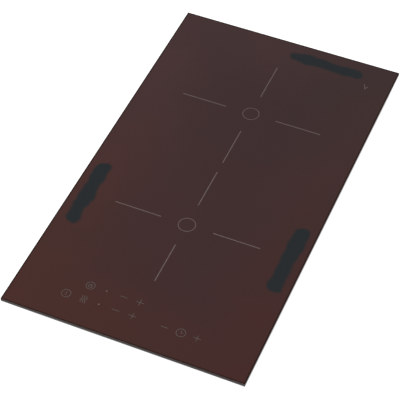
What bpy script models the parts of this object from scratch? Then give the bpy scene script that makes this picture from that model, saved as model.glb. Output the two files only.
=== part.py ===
"""Built-in induction hob, two cooking zones one behind the other, on a sheet-steel body.

Metres, +Z up, +Y towards the back. The origin is on the resting plane, under the glass plate's centre.
The glass is carried by a folded frame that drops into a worktop's cut-out. A tray closes the frame from
below and holds the boards, the fan and the mains terminals. The coils sit on a bridge plate above them.
"""

import math

import bmesh
import bpy
from mathutils import Vector

# ---- Driving dimensions -------------------------------------------------------------------------

GAP = 0.0003                 # air between pieces that touch

GLASS_W = 0.290              # glass plate
GLASS_D = 0.520
GLASS_T = 0.004
GLASS_CORNER_R = 0.0015
GLASS_TOP_BEVEL = 0.0008
GLASS_LOW_BEVEL = 0.0004
BODY_H = 0.044               # from the resting plane to the glass's underside

OVERHANG_SIDE = 0.010        # glass beyond the worktop's cut-out, at each side
OVERHANG_END = 0.015         # and at the front and back
CUTOUT_PLAY = 0.0005         # frame to cut-out edge
SEAL_W = 0.006               # foam seal under the glass's rim
SEAL_T = 0.002
SEAL_INSET = 0.002

SHEET_T = 0.001              # steel sheet of frame and tray
BOND_T = 0.0008              # silicone between frame and glass
LIP_SIDE = 0.003             # frame's lip outside its skirt
LIP_END = 0.0015
SKIRT_H = 0.014
FLANGE_SIDE_W = 0.0215       # frame's flange under the glass, from the lip inwards
FLANGE_REAR_W = 0.0225
FLANGE_FRONT_W = 0.0125

SIDE_PAD_W = 0.018           # silicone bond pads: two sides and the back
SIDE_PAD_L = 0.098
LEFT_PAD_FROM_FRONT = 0.1815
RIGHT_PAD_FROM_FRONT = 0.1775
REAR_PAD_L = 0.097
REAR_PAD_W = 0.016
REAR_PAD_X = 0.0545

SLOPE_TOP_Z = 0.018          # the tray's front wall leans in below this height
SLOPE_RUN = 0.0122

ZONE_REAR_FROM_BACK = 0.1424
ZONE_FRONT_FROM_FRONT = 0.1805
COIL_R = 0.082               # winding
COIL_EYE_R = 0.020
COIL_T = 0.0042
FORMER_RIM = 0.004           # former beyond the winding
FORMER_T = 0.002
FORMER_LIP_H = 0.003
COLLAR_R = 0.0105            # collar that guides the pan sensor
COLLAR_WALL = 0.0025
COLLAR_BELOW_GLASS = 0.0045
FERRITE_T = 0.0035
FERRITE_BAR_W = 0.014
FERRITE_BARS = 8
MICA_T = 0.0004
MICA_HOLE_R = 0.012
COIL_BELOW_GLASS = 0.0025
FERRITE_HUB_BEYOND_EYE = 0.004
FERRITE_INSIDE_COIL = 0.002  # bars end short of the winding's edge
FORMER_LIP_T = 0.0015

SENSOR_HEAD_R = 0.0068
SENSOR_HEAD_T = 0.002
SENSOR_HEAD_EDGE = 0.0005
SENSOR_STEM_R = 0.0032
SENSOR_STEM_BELOW = 0.0015   # stem past the former's underside
STEM_CLEARANCE = 0.0004
SPRING_R = 0.0052
SPRING_WIRE_R = 0.0004
SPRING_TURNS = 4
SPRING_STEPS = 10            # points in one turn
LEAD_R = 0.0014
LEAD_SLOT_W = 0.010
LEAD_SLOT_L = 0.020

PLATE_T = 0.0012             # aluminium bridge plate under the coils
PLATE_TO_TRAY = 0.003
PLATE_BEYOND_COIL = 0.008
PLATE_HOLE_R = 0.015
LEG_WINDOW_W = 0.070
LEG_WINDOW_H = 0.016

BOARD_T = 0.0016             # power board and the sheet that insulates it
BOARD_PAST_REAR_ZONE = 0.0117     # board's ends, from the two zones' middles
BOARD_PAST_FRONT_ZONE = 0.0721
BOARD_ABOVE_FLOOR = 0.0045
BOARD_FROM_LEFT = 0.004      # and its sides, from the bridge's legs
BOARD_FROM_RIGHT = 0.016
BOARD_SHEET_T = 0.0012
BOARD_SHEET_MARGIN = 0.002
POST_R = 0.003

SINK_W = 0.056               # heat sink
SINK_L = 0.230
SINK_H = 0.0175
SINK_BASE_T = 0.004
SINK_FIN_T = 0.0015
SINK_FINS = 9
SINK_FROM_BOARD_EDGE = 0.002
POWER_DEVICE_T = 0.005
DEVICE_EDGE = 0.0006         # chamfers of the moulded cases
CASE_EDGE = 0.0008
CHOKE_X = 0.045
CHOKE_FROM_MIDDLE = 0.060
CHOKE_R = 0.0150
CHOKE_HOLE_R = 0.0060
CHOKE_H = 0.0130
CHOKE_EDGE = 0.002

FAN_SIZE = 0.090             # blower beside the rear wall
FAN_H = 0.022
FAN_WALL = 0.0015
FAN_CORNER_R = 0.008
FAN_INLET_R = 0.029
FAN_FROM_REAR = 0.008
FAN_FROM_LEG = 0.004
FAN_ARMS = 3                 # spider arms across the lower inlet
FAN_ARM_HALF_ANGLE = 0.16
FAN_ARC_STEPS = 6
ROTOR_R = 0.0375
ROTOR_CLEARANCE = 0.0015
ROTOR_HUB_R = 0.0150
ROTOR_BLADES = 11
ROTOR_BLADE_T = 0.0016
ROTOR_BLADE_SWEEP = -0.35   # radians that a blade leans from root to tip
MOTOR_R = 0.0110
MOTOR_H = 0.0090
MOTOR_SHAFT_R = 0.0015
SHAFT_CLEARANCE = 0.0001

TOUCH_REAR_FROM_FRONT = 0.0560    # the two rows of touch keys
TOUCH_FRONT_FROM_FRONT = 0.0358
KEYS_REAR_X = (-0.0618, -0.0211, -0.0016)
KEYS_FRONT_X = (-0.0819, -0.0608, -0.0216, -0.0016, 0.0365, 0.0560, 0.0750)
KEY_SPRING_R = 0.0040
LIGHT_GUIDE_X = -0.0421
LIGHT_GUIDE_W = 0.008
LIGHT_GUIDE_EDGE = 0.0006
TOUCH_BOARD_BELOW_GLASS = 0.0084
TOUCH_BOARD_X = (-0.0970, 0.0890)
TOUCH_BOARD_D = 0.0385
TOUCH_BOARD_FROM_FRONT = 0.0315
CARRIER_T = 0.002
CARRIER_MARGIN = 0.002
CARRIER_LEG = 0.006
RIBBON_W = 0.018
RIBBON_T = 0.0008
RIBBON_X = 0.020
RIBBON_STRAIGHT = 0.005      # straight run before the ribbon bends
RIBBON_ON_BOARD = 0.008

BOX_X = 0.090                # mains terminal box in the rear wall
BOX_W = 0.060
BOX_H = 0.0212
BOX_DEPTH = 0.036
BOX_WALL = 0.0015
BOX_BOTTOM_Z = 0.004
CABLE_WAY_W = 0.014
COLLAR_PLATE_T = 0.0012
COLLAR_PLATE_MARGIN = 0.003
COLLAR_PLATE_BELOW = 0.002
EAR_W = 0.0030
KNUCKLE_R = 0.0015
HINGE_PIN_R = 0.0008
HINGE_ABOVE_BOX = 0.0012
HINGE_PIN_CLEARANCE = 0.0003
COVER_T = 0.0012
COVER_LIP = 0.0015
BLOCK_W = 0.044
BLOCK_D = 0.0140
BLOCK_H = 0.0120
BLOCK_WAYS = 5
WELL_HALF_W = 0.0028         # wire wells in the block's face, screw wells in its top
WELL_D = 0.006
WELL_Z = (0.003, 0.008)
SCREW_WELL_HALF_W = 0.0020
SCREW_WELL_Y = (0.003, 0.007)
SCREW_WELL_D = 0.002

INLET_X = 0.036              # rubber grommet where the supply cable enters
INLET_Z = 0.0140
INLET_BORE_R = 0.0048
GROMMET_R = 0.0078
GROMMET_FLANGE_R = 0.0100
GROMMET_FLANGE_T = 0.0018
GROMMET_EDGE = 0.0006

CLIP_Y = 0.150               # spring clips at the sides, before and behind the middle
CLIP_W = 0.024
CLIP_T = 0.0008
CLIP_GAP = 0.0006
CLIP_TOP_Z = 0.0400
CLIP_AXIS_Z = 0.0360
CLIP_BEND_Z = 0.0315
CLIP_BULGE_Z = 0.0120
CLIP_END_Z = 0.0055
CLIP_BULGE_OUT = 0.0018      # bulge past the cut-out's edge
CLIP_END_OUT = 0.0003
CLIP_CROWN_Z = 0.0030        # the bulge's rounding, above and below its crown
CLIP_CROWN_IN = (0.0002, 0.0006)
SCREW_R = 0.0014
SCREW_HEAD_R = 0.0034
SCREW_HEAD_T = 0.0014
SCREW_CROWN = 0.6            # share of the head's radius and height where its crown starts
SCREW_CLEARANCE = 0.0004
CLIP_HOLE_CLEARANCE = 0.0008
TRAY_SCREW_X = 0.105
TRAY_SCREW_Z = 0.0340

VENT_W = 0.003               # air slots
VENT_PITCH = 0.0075
FRONT_VENT_Z = (0.0060, 0.0150)
SIDE_VENT_ROWS_Z = (0.0120, 0.0190)
SIDE_VENTS_PER_HALF = 6
REAR_VENT_Z = (0.0070, 0.0210)
REAR_VENTS_PER_HALF = 5
PLATE_LABEL_X = (-0.0270, 0.0170) # blank rating plate on the rear wall
PLATE_LABEL_Z = (0.0060, 0.0250)
PLATE_LABEL_T = 0.0003
ROUND = 30                   # sides of the large turned pieces
SMALL_ROUND = 12

# ---- Places worked out from them ----------------------------------------------------------------

HALF_W, HALF_D = GLASS_W / 2, GLASS_D / 2
GLASS_LOW_Z, GLASS_TOP_Z = BODY_H, BODY_H + GLASS_T
CUTOUT_X, CUTOUT_Y = HALF_W - OVERHANG_SIDE, HALF_D - OVERHANG_END
FLANGE_X, FLANGE_Y = CUTOUT_X - CUTOUT_PLAY, CUTOUT_Y - CUTOUT_PLAY
SKIRT_X, SKIRT_Y = FLANGE_X - LIP_SIDE, FLANGE_Y - LIP_END
TRAY_X, TRAY_Y = SKIRT_X - SHEET_T - GAP, SKIRT_Y - SHEET_T - GAP
INNER_X, INNER_Y = TRAY_X - SHEET_T, TRAY_Y - SHEET_T
BOND_TOP_Z = GLASS_LOW_Z - GAP
FLANGE_TOP_Z = BOND_TOP_Z - BOND_T - GAP
FLANGE_LOW_Z = FLANGE_TOP_Z - SHEET_T
SKIRT_LOW_Z = FLANGE_TOP_Z - SKIRT_H
TRAY_TOP_Z = FLANGE_LOW_Z - GAP
FLOOR_Z = SHEET_T

ZONES = {"rear": HALF_D - ZONE_REAR_FROM_BACK, "front": -HALF_D + ZONE_FRONT_FROM_FRONT}
MICA_TOP_Z = GLASS_LOW_Z - COIL_BELOW_GLASS
COIL_TOP_Z = MICA_TOP_Z - MICA_T - GAP
COIL_LOW_Z = COIL_TOP_Z - COIL_T
FORMER_TOP_Z = COIL_LOW_Z - GAP
FORMER_LOW_Z = FORMER_TOP_Z - FORMER_T
FERRITE_TOP_Z = FORMER_LOW_Z - GAP
FERRITE_LOW_Z = FERRITE_TOP_Z - FERRITE_T
PLATE_TOP_Z = FERRITE_LOW_Z - GAP
PLATE_LOW_Z = PLATE_TOP_Z - PLATE_T
PLATE_X = INNER_X - PLATE_TO_TRAY
FORMER_R = COIL_R + FORMER_RIM
LEAD_X = (FORMER_R + PLATE_X) / 2

BOARD_LOW_Z = FLOOR_Z + BOARD_ABOVE_FLOOR
BOARD_TOP_Z = BOARD_LOW_Z + BOARD_T
PART_Z = BOARD_TOP_Z + GAP
BOARD_LEFT_X = -PLATE_X + PLATE_T + BOARD_FROM_LEFT
BOARD_RIGHT_X = PLATE_X - PLATE_T - BOARD_FROM_RIGHT
BOARD_REAR_Y = ZONES["rear"] + BOARD_PAST_REAR_ZONE
BOARD_FRONT_Y = ZONES["front"] - BOARD_PAST_FRONT_ZONE
BOARD_Y = (BOARD_FRONT_Y + BOARD_REAR_Y) / 2
SINK_LEFT_X = BOARD_LEFT_X + SINK_FROM_BOARD_EDGE
SINK_RIGHT_X = SINK_LEFT_X + SINK_W

FAN_X = -PLATE_X + PLATE_T + FAN_FROM_LEG + FAN_SIZE / 2
FAN_Y = INNER_Y - FAN_FROM_REAR - FAN_SIZE / 2
FAN_LOW_Z = FLOOR_Z + GAP
FAN_TOP_Z = FAN_LOW_Z + FAN_H

TOUCH_REAR_Y = -HALF_D + TOUCH_REAR_FROM_FRONT
TOUCH_FRONT_Y = -HALF_D + TOUCH_FRONT_FROM_FRONT
TOUCH_TOP_Z = GLASS_LOW_Z - TOUCH_BOARD_BELOW_GLASS
TOUCH_LOW_Z = TOUCH_TOP_Z - BOARD_T
TOUCH_Y0 = -HALF_D + TOUCH_BOARD_FROM_FRONT
TOUCH_Y1 = TOUCH_Y0 + TOUCH_BOARD_D

BOX_TOP_Z = BOX_BOTTOM_Z + BOX_H
COLLAR_FACE_Y = TRAY_Y + GAP + COLLAR_PLATE_T
HINGE_Y = COLLAR_FACE_Y + GAP + KNUCKLE_R
HINGE_Z = BOX_TOP_Z + HINGE_ABOVE_BOX


# ---- Mesh helpers -------------------------------------------------------------------------------

def place(axis, u, v, w):
    """Point with w along the axis, and u and v along the other two in X, Y, Z order."""
    return {"X": (w, u, v), "Y": (u, w, v), "Z": (u, v, w)}[axis]


def loft(loops, closed=False, bm=None):
    """Skin over rings of equally many points; closed joins the last ring to the first."""
    bm = bm or bmesh.new()
    rings = [[bm.verts.new(point) for point in loop] for loop in loops]
    pairs = list(zip(rings, rings[1:]))
    if closed:
        pairs.append((rings[-1], rings[0]))
    else:
        bm.faces.new(rings[0])
        bm.faces.new(rings[-1])
    for low, high in pairs:
        for i, corner in enumerate(low):
            j = (i + 1) % len(low)
            bm.faces.new((corner, low[j], high[j], high[i]))
    return bm


def prism(outline, axis, low, high, bm=None):
    """Outline of (u, v) points carried along an axis."""
    return loft([[place(axis, u, v, w) for u, v in outline] for w in (low, high)], bm=bm)


def box(x, y, z, bm=None):
    """Block between two bounds on each axis."""
    return prism([(x[0], y[0]), (x[1], y[0]), (x[1], y[1]), (x[0], y[1])], "Z", z[0], z[1], bm)


def case(x, y, z, edge):
    """Block whose upper and lower rims are chamfered, as on a moulded component case."""
    stack = [(z[0], edge), (z[0] + edge, 0.0), (z[1] - edge, 0.0), (z[1], edge)]
    loops = []
    for height, inset in stack:
        x0, x1, y0, y1 = x[0] + inset, x[1] - inset, y[0] + inset, y[1] - inset
        loops.append([(x0, y0, height), (x1, y0, height), (x1, y1, height), (x0, y1, height)])
    return loft(loops)


def circle(radius, steps, centre=(0.0, 0.0), turn=0.0):
    """Points around a circle, as (u, v)."""
    angles = [turn + 2 * math.pi * i / steps for i in range(steps)]
    return [(centre[0] + radius * math.cos(a), centre[1] + radius * math.sin(a)) for a in angles]


def turned(profile, centre, axis="Z", steps=ROUND, closed=False, bm=None):
    """Profile of (radius, height) points turned about an axis; closed makes a ring, else a solid."""
    loops = [[place(axis, u, v, h) for u, v in circle(r, steps, centre)] for r, h in profile]
    return loft(loops, closed, bm)


def rounded_rectangle(half_x, half_y, radius, steps=3):
    """Outline of a centred rectangle with round corners."""
    points = []
    for quarter, (sx, sy) in enumerate(((1, 1), (-1, 1), (-1, -1), (1, -1))):
        cx, cy = sx * (half_x - radius), sy * (half_y - radius)
        for i in range(steps + 1):
            angle = math.pi / 2 * (quarter + i / steps)
            points.append((cx + radius * math.cos(angle), cy + radius * math.sin(angle)))
    return points


def rectangle_loop(half_x, front_y, rear_y, z):
    """Four corners of a rectangle that is centred in X."""
    return [(half_x, rear_y, z), (-half_x, rear_y, z), (-half_x, front_y, z), (half_x, front_y, z)]


def strip(points, thickness):
    """Outline of a bent sheet of one thickness, along a centre line of (u, v) points."""
    path = [Vector(p) for p in points]
    sides = ([], [])
    for i, point in enumerate(path):
        before = (path[i] - path[i - 1]).normalized() if i else (path[1] - path[0]).normalized()
        after = (path[i + 1] - path[i]).normalized() if i + 1 < len(path) else before
        normal = Vector((-before.y - after.y, before.x + after.x)).normalized()
        reach = thickness / 2 / normal.dot(Vector((-before.y, before.x)))
        sides[0].append(tuple(point + normal * reach))
        sides[1].append(tuple(point - normal * reach))
    return sides[0] + sides[1][::-1]


def star(hub_r, tip_r, width, count, sweep=0.0):
    """Outline of a hub with bars of one width standing out of it, four points a bar."""
    points = []
    for i in range(count):
        angle = 2 * math.pi * i / count
        for radius, side in ((hub_r, -1), (tip_r, -1), (tip_r, 1), (hub_r, 1)):
            lean = angle + (sweep if radius == tip_r else 0.0)
            offset = side * math.asin(width / 2 / radius)
            points.append((radius * math.cos(lean + offset), radius * math.sin(lean + offset)))
    return points


# ---- Finishes and objects -----------------------------------------------------------------------

FINISHES = {                 # colour, roughness, metallic
    "hob_glass": ((0.061, 0.030, 0.029), 0.08, 0.0),
    "foam_seal": ((0.035, 0.035, 0.037), 0.90, 0.0),
    "silicone": ((0.027, 0.034, 0.038), 0.55, 0.0),
    "galvanised_steel": ((0.56, 0.58, 0.60), 0.42, 0.9),
    "aluminium_sheet": ((0.72, 0.73, 0.74), 0.35, 0.9),
    "spring_steel": ((0.42, 0.42, 0.44), 0.30, 1.0),
    "zinc_screw": ((0.62, 0.62, 0.60), 0.30, 1.0),
    "former_plastic": ((0.030, 0.030, 0.032), 0.55, 0.0),
    "copper_litz": ((0.60, 0.27, 0.12), 0.40, 0.9),
    "ferrite": ((0.050, 0.048, 0.050), 0.65, 0.0),
    "mica": ((0.62, 0.58, 0.46), 0.50, 0.0),
    "sensor_ceramic": ((0.80, 0.79, 0.75), 0.60, 0.0),
    "board_green": ((0.030, 0.160, 0.060), 0.45, 0.0),
    "insulating_sheet": ((0.045, 0.045, 0.050), 0.50, 0.0),
    "component_black": ((0.025, 0.025, 0.027), 0.40, 0.0),
    "component_blue": ((0.050, 0.110, 0.300), 0.35, 0.0),
    "component_yellow": ((0.720, 0.520, 0.060), 0.40, 0.0),
    "housing_plastic": ((0.040, 0.040, 0.043), 0.50, 0.0),
    "terminal_plastic": ((0.680, 0.670, 0.640), 0.50, 0.0),
    "light_guide": ((0.820, 0.820, 0.800), 0.30, 0.0),
    "grommet_rubber": ((0.020, 0.020, 0.021), 0.75, 0.0),
    "lead_insulation": ((0.550, 0.060, 0.040), 0.50, 0.0),
    "ribbon_grey": ((0.400, 0.400, 0.410), 0.55, 0.0),
}


def finish(name):
    """The Principled material of a finish, made once for each piece that has it."""
    colour, roughness, metallic = FINISHES[name]
    material = bpy.data.materials.new(name)
    material.use_nodes = True
    shader = material.node_tree.nodes["Principled BSDF"]
    shader.inputs["Base Color"].default_value = (*colour, 1.0)
    shader.inputs["Roughness"].default_value = roughness
    shader.inputs["Metallic"].default_value = metallic
    return material


def piece(name, bm, finish_name, smooth=False):
    """Named object from a closed mesh, with its faces turned outwards."""
    bmesh.ops.recalc_face_normals(bm, faces=bm.faces)
    mesh = bpy.data.meshes.new(name)
    bm.to_mesh(mesh)
    bm.free()
    if smooth:
        mesh.shade_smooth()
        mesh.set_sharp_from_angle(angle=math.radians(40))
    if finish_name:
        mesh.materials.append(finish(finish_name))
    obj = bpy.data.objects.new(name, mesh)
    bpy.context.collection.objects.link(obj)
    return obj


def combine(obj, bm, label, operation="DIFFERENCE"):
    """Cut a shape out of a piece, or unite it with the piece, by a hidden guide object."""
    guide = piece(f"{obj.name}_{label}", bm, None)
    guide.hide_render = True
    guide.display_type = "WIRE"
    modifier = obj.modifiers.new(label, "BOOLEAN")
    modifier.operation = operation
    modifier.solver = "EXACT"
    modifier.object = guide


def tube(name, points, radius, finish_name, resolution=2, smooth=True):
    """Round wire along points, with closed ends."""
    curve = bpy.data.curves.new(name, "CURVE")
    curve.dimensions = "3D"
    curve.bevel_depth = radius
    curve.bevel_resolution = resolution
    curve.use_fill_caps = True
    spline = curve.splines.new("POLY")
    spline.points.add(len(points) - 1)
    for target, point in zip(spline.points, points):
        target.co = (*point, 1.0)
    spline.use_smooth = smooth
    curve.materials.append(finish(finish_name))
    obj = bpy.data.objects.new(name, curve)
    bpy.context.collection.objects.link(obj)
    return obj


def smooth_path(knots, steps):
    """Catmull-Rom curve through a few chosen points."""
    ends = [knots[0]] + list(knots) + [knots[-1]]
    points = [Vector(p) for p in ends]
    path = []
    for a, b, c, d in zip(points, points[1:], points[2:], points[3:]):
        for i in range(steps):
            t = i / steps
            path.append(0.5 * (2 * b + (c - a) * t + (2 * a - 5 * b + 4 * c - d) * t ** 2
                               + (3 * b - a - 3 * c + d) * t ** 3))
    path.append(points[-1])
    return path


# ---- Glass, seal and bond -----------------------------------------------------------------------

def build_glass():
    """Glass plate with ground edges, the foam seal under its rim and the silicone pads that hold it."""
    levels = [(GLASS_LOW_Z, GLASS_LOW_BEVEL), (GLASS_LOW_Z + GLASS_LOW_BEVEL, 0.0),
              (GLASS_TOP_Z - GLASS_TOP_BEVEL, 0.0), (GLASS_TOP_Z, GLASS_TOP_BEVEL)]
    loops = []
    for z, inset in levels:
        outline = rounded_rectangle(HALF_W - inset, HALF_D - inset, GLASS_CORNER_R)
        loops.append([(x, y, z) for x, y in outline])
    piece("glass_plate", loft(loops), "hob_glass")

    outer_x, outer_y = HALF_W - SEAL_INSET, HALF_D - SEAL_INSET
    inner_x, inner_y = outer_x - SEAL_W, outer_y - SEAL_W
    low, high = GLASS_LOW_Z - GAP - SEAL_T, GLASS_LOW_Z - GAP
    section = [(outer_x, outer_y, low), (outer_x, outer_y, high),
               (inner_x, inner_y, high), (inner_x, inner_y, low)]
    ring = loft([rectangle_loop(x, -y, y, z) for x, y, z in section], closed=True)
    piece("worktop_seal", ring, "foam_seal")

    pad_z = (BOND_TOP_Z - BOND_T, BOND_TOP_Z)
    for side, sign, from_front in (("left", -1, LEFT_PAD_FROM_FRONT), ("right", 1, RIGHT_PAD_FROM_FRONT)):
        x = sorted((sign * (FLANGE_X - SIDE_PAD_W), sign * FLANGE_X))
        middle = -HALF_D + from_front
        y = (middle - SIDE_PAD_L / 2, middle + SIDE_PAD_L / 2)
        piece(f"{side}_bond_pad", box(x, y, pad_z), "silicone")
    x = (REAR_PAD_X - REAR_PAD_L / 2, REAR_PAD_X + REAR_PAD_L / 2)
    piece("rear_bond_pad", box(x, (FLANGE_Y - REAR_PAD_W, FLANGE_Y), pad_z), "silicone")


# ---- Steel body ---------------------------------------------------------------------------------

def screw_places():
    """Name, axis, side, place along the wall and height of every screw through the skirt."""
    clips = [(f"{end}_{side}_clip_screw", "X", sx, sy * CLIP_Y, CLIP_AXIS_Z)
             for end, sy in (("front", -1), ("rear", 1)) for side, sx in (("left", -1), ("right", 1))]
    trays = [(f"{end}_{side}_tray_screw", "Y", sy, sx * TRAY_SCREW_X, TRAY_SCREW_Z)
             for end, sy in (("front", -1), ("rear", 1)) for side, sx in (("left", -1), ("right", 1))]
    return clips + trays


def screw_holes():
    """Clearance holes for the screws, through the frame's skirt and the tray's wall."""
    bm = bmesh.new()
    for _, axis, sign, along, height in screw_places():
        outside = (SKIRT_X if axis == "X" else SKIRT_Y) + SHEET_T
        inside = (INNER_X if axis == "X" else INNER_Y) - SHEET_T
        turned([(SCREW_R + SCREW_CLEARANCE, sign * inside), (SCREW_R + SCREW_CLEARANCE, sign * outside)],
               (along, height), axis, SMALL_ROUND, bm=bm)
    return bm


def build_frame():
    """Folded frame: a flange under the glass, a lip over the cut-out's play and a skirt."""
    flange_in = (FLANGE_X - FLANGE_SIDE_W, -FLANGE_Y + FLANGE_FRONT_W, FLANGE_Y - FLANGE_REAR_W)
    skirt_in = (SKIRT_X - SHEET_T, -SKIRT_Y + SHEET_T, SKIRT_Y - SHEET_T)
    skirt_out = (SKIRT_X, -SKIRT_Y, SKIRT_Y)
    lip = (FLANGE_X, -FLANGE_Y, FLANGE_Y)
    section = [(*lip, FLANGE_TOP_Z), (*flange_in, FLANGE_TOP_Z), (*flange_in, FLANGE_LOW_Z),
               (*skirt_in, FLANGE_LOW_Z), (*skirt_in, SKIRT_LOW_Z), (*skirt_out, SKIRT_LOW_Z),
               (*skirt_out, FLANGE_LOW_Z), (*lip, FLANGE_LOW_Z)]
    folded = loft([rectangle_loop(*s) for s in section], closed=True)
    frame = piece("carrier_frame", folded, "galvanised_steel")
    combine(frame, screw_holes(), "screw_holes")


def tray_section(inset, top_z):
    """The tray's side view as (y, z) points, moved inwards by the sheet's thickness or not at all."""
    lean = math.atan2(SLOPE_RUN, SLOPE_TOP_Z)
    bend_z = SLOPE_TOP_Z + inset * math.tan(lean / 2)
    toe_y = -TRAY_Y + SLOPE_RUN + inset * math.tan((math.pi / 2 - lean) / 2)
    y = TRAY_Y - inset
    return [(-y, top_z), (-y, bend_z), (toe_y, inset), (y, inset), (y, top_z)]


def vent_cutters():
    """Air slots: a round field under the fan, the leaning front wall, the sides and the rear."""
    bm = bmesh.new()
    reach = 2 * SHEET_T
    rows = int(FAN_INLET_R / VENT_PITCH)
    for row in range(-rows, rows + 1):
        y = FAN_Y + row * VENT_PITCH
        half = math.sqrt(FAN_INLET_R ** 2 - (row * VENT_PITCH) ** 2)
        box((FAN_X - half, FAN_X + half), (y - VENT_W / 2, y + VENT_W / 2), (-reach, reach), bm)
    front_slots = int(TRAY_X / VENT_PITCH) - 2
    for slot in range(-front_slots, front_slots + 1):
        x = slot * VENT_PITCH
        box((x - VENT_W / 2, x + VENT_W / 2), (-TRAY_Y - reach, -TRAY_Y + SLOPE_RUN), FRONT_VENT_Z, bm)
    for sign in (-1, 1):
        wall = sorted((sign * (TRAY_X - reach), sign * (TRAY_X + reach)))
        for slot in range(-SIDE_VENTS_PER_HALF, SIDE_VENTS_PER_HALF + 1):
            y = slot * 2 * VENT_PITCH
            for low in SIDE_VENT_ROWS_Z:
                box(wall, (y - VENT_PITCH / 2, y + VENT_PITCH / 2), (low, low + VENT_W), bm)
    for slot in range(-REAR_VENTS_PER_HALF, REAR_VENTS_PER_HALF + 1):
        x = FAN_X + slot * VENT_PITCH
        box((x - VENT_W / 2, x + VENT_W / 2), (TRAY_Y - reach, TRAY_Y + reach), REAR_VENT_Z, bm)
    return bm


def build_tray():
    """Tray that closes the body from below, with its air slots and the rear wall's two openings."""
    outside = prism(tray_section(0.0, TRAY_TOP_Z), "X", -TRAY_X, TRAY_X)
    tray = piece("bottom_tray", outside, "galvanised_steel")
    above = TRAY_TOP_Z + SHEET_T
    combine(tray, prism(tray_section(SHEET_T, above), "X", -INNER_X, INNER_X), "inside")
    combine(tray, vent_cutters(), "vents")
    openings = screw_holes()
    half = BOX_W / 2 + GAP
    through = (INNER_Y - SHEET_T, TRAY_Y + SHEET_T)
    box((BOX_X - half, BOX_X + half), through, (BOX_BOTTOM_Z - GAP, BOX_TOP_Z + GAP), openings)
    neck = GROMMET_R + GAP
    turned([(neck, through[0]), (neck, through[1])], (INLET_X, INLET_Z), "Y", 2 * SMALL_ROUND, bm=openings)
    combine(tray, openings, "openings")
    piece("rating_plate", box(PLATE_LABEL_X, (TRAY_Y + GAP, TRAY_Y + GAP + PLATE_LABEL_T), PLATE_LABEL_Z),
          "aluminium_sheet")


def build_screws():
    """Pan-head screws: four hold the clips, four hold the tray in the frame."""
    for name, axis, sign, along, height in screw_places():
        if axis == "X":
            seat, tip = SKIRT_X + 2 * CLIP_GAP + CLIP_T, INNER_X - SHEET_T
        else:
            seat, tip = SKIRT_Y + GAP, INNER_Y - 3 * SHEET_T
        profile = [(SCREW_R, tip), (SCREW_R, seat), (SCREW_HEAD_R, seat),
                   (SCREW_HEAD_R, seat + SCREW_CROWN * SCREW_HEAD_T),
                   (SCREW_CROWN * SCREW_HEAD_R, seat + SCREW_HEAD_T)]
        bm = turned([(r, sign * h) for r, h in profile], (along, height), axis, SMALL_ROUND)
        piece(name, bm, "zinc_screw", smooth=True)


def build_clips():
    """Leaf springs that grip the cut-out's edge; each one flexes about the screw that holds it."""
    tab_x = SKIRT_X + CLIP_GAP + CLIP_T / 2
    bulge_x = CUTOUT_X + CLIP_BULGE_OUT - CLIP_T / 2
    end_x = CUTOUT_X + CLIP_END_OUT - CLIP_T / 2
    above_in, below_in = CLIP_CROWN_IN
    line = [(tab_x, CLIP_TOP_Z), (tab_x, CLIP_BEND_Z), (bulge_x - above_in, CLIP_BULGE_Z + CLIP_CROWN_Z),
            (bulge_x, CLIP_BULGE_Z), (bulge_x - below_in, CLIP_BULGE_Z - CLIP_CROWN_Z),
            (end_x, CLIP_END_Z)]
    for end, sy in (("front", -1), ("rear", 1)):
        for side, sx in (("left", -1), ("right", 1)):
            outline = [(sx * x, z) for x, z in strip(line, CLIP_T)]
            middle = sy * CLIP_Y
            clip = piece(f"{end}_{side}_clip", prism(outline, "Y", middle - CLIP_W / 2, middle + CLIP_W / 2),
                         "spring_steel")
            radius = SCREW_R + CLIP_HOLE_CLEARANCE
            hole = turned([(radius, sx * SKIRT_X), (radius, sx * (tab_x + 2 * CLIP_T))],
                          (middle, CLIP_AXIS_Z), "X", SMALL_ROUND)
            combine(clip, hole, "screw_hole")


# ---- Coils --------------------------------------------------------------------------------------

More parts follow.
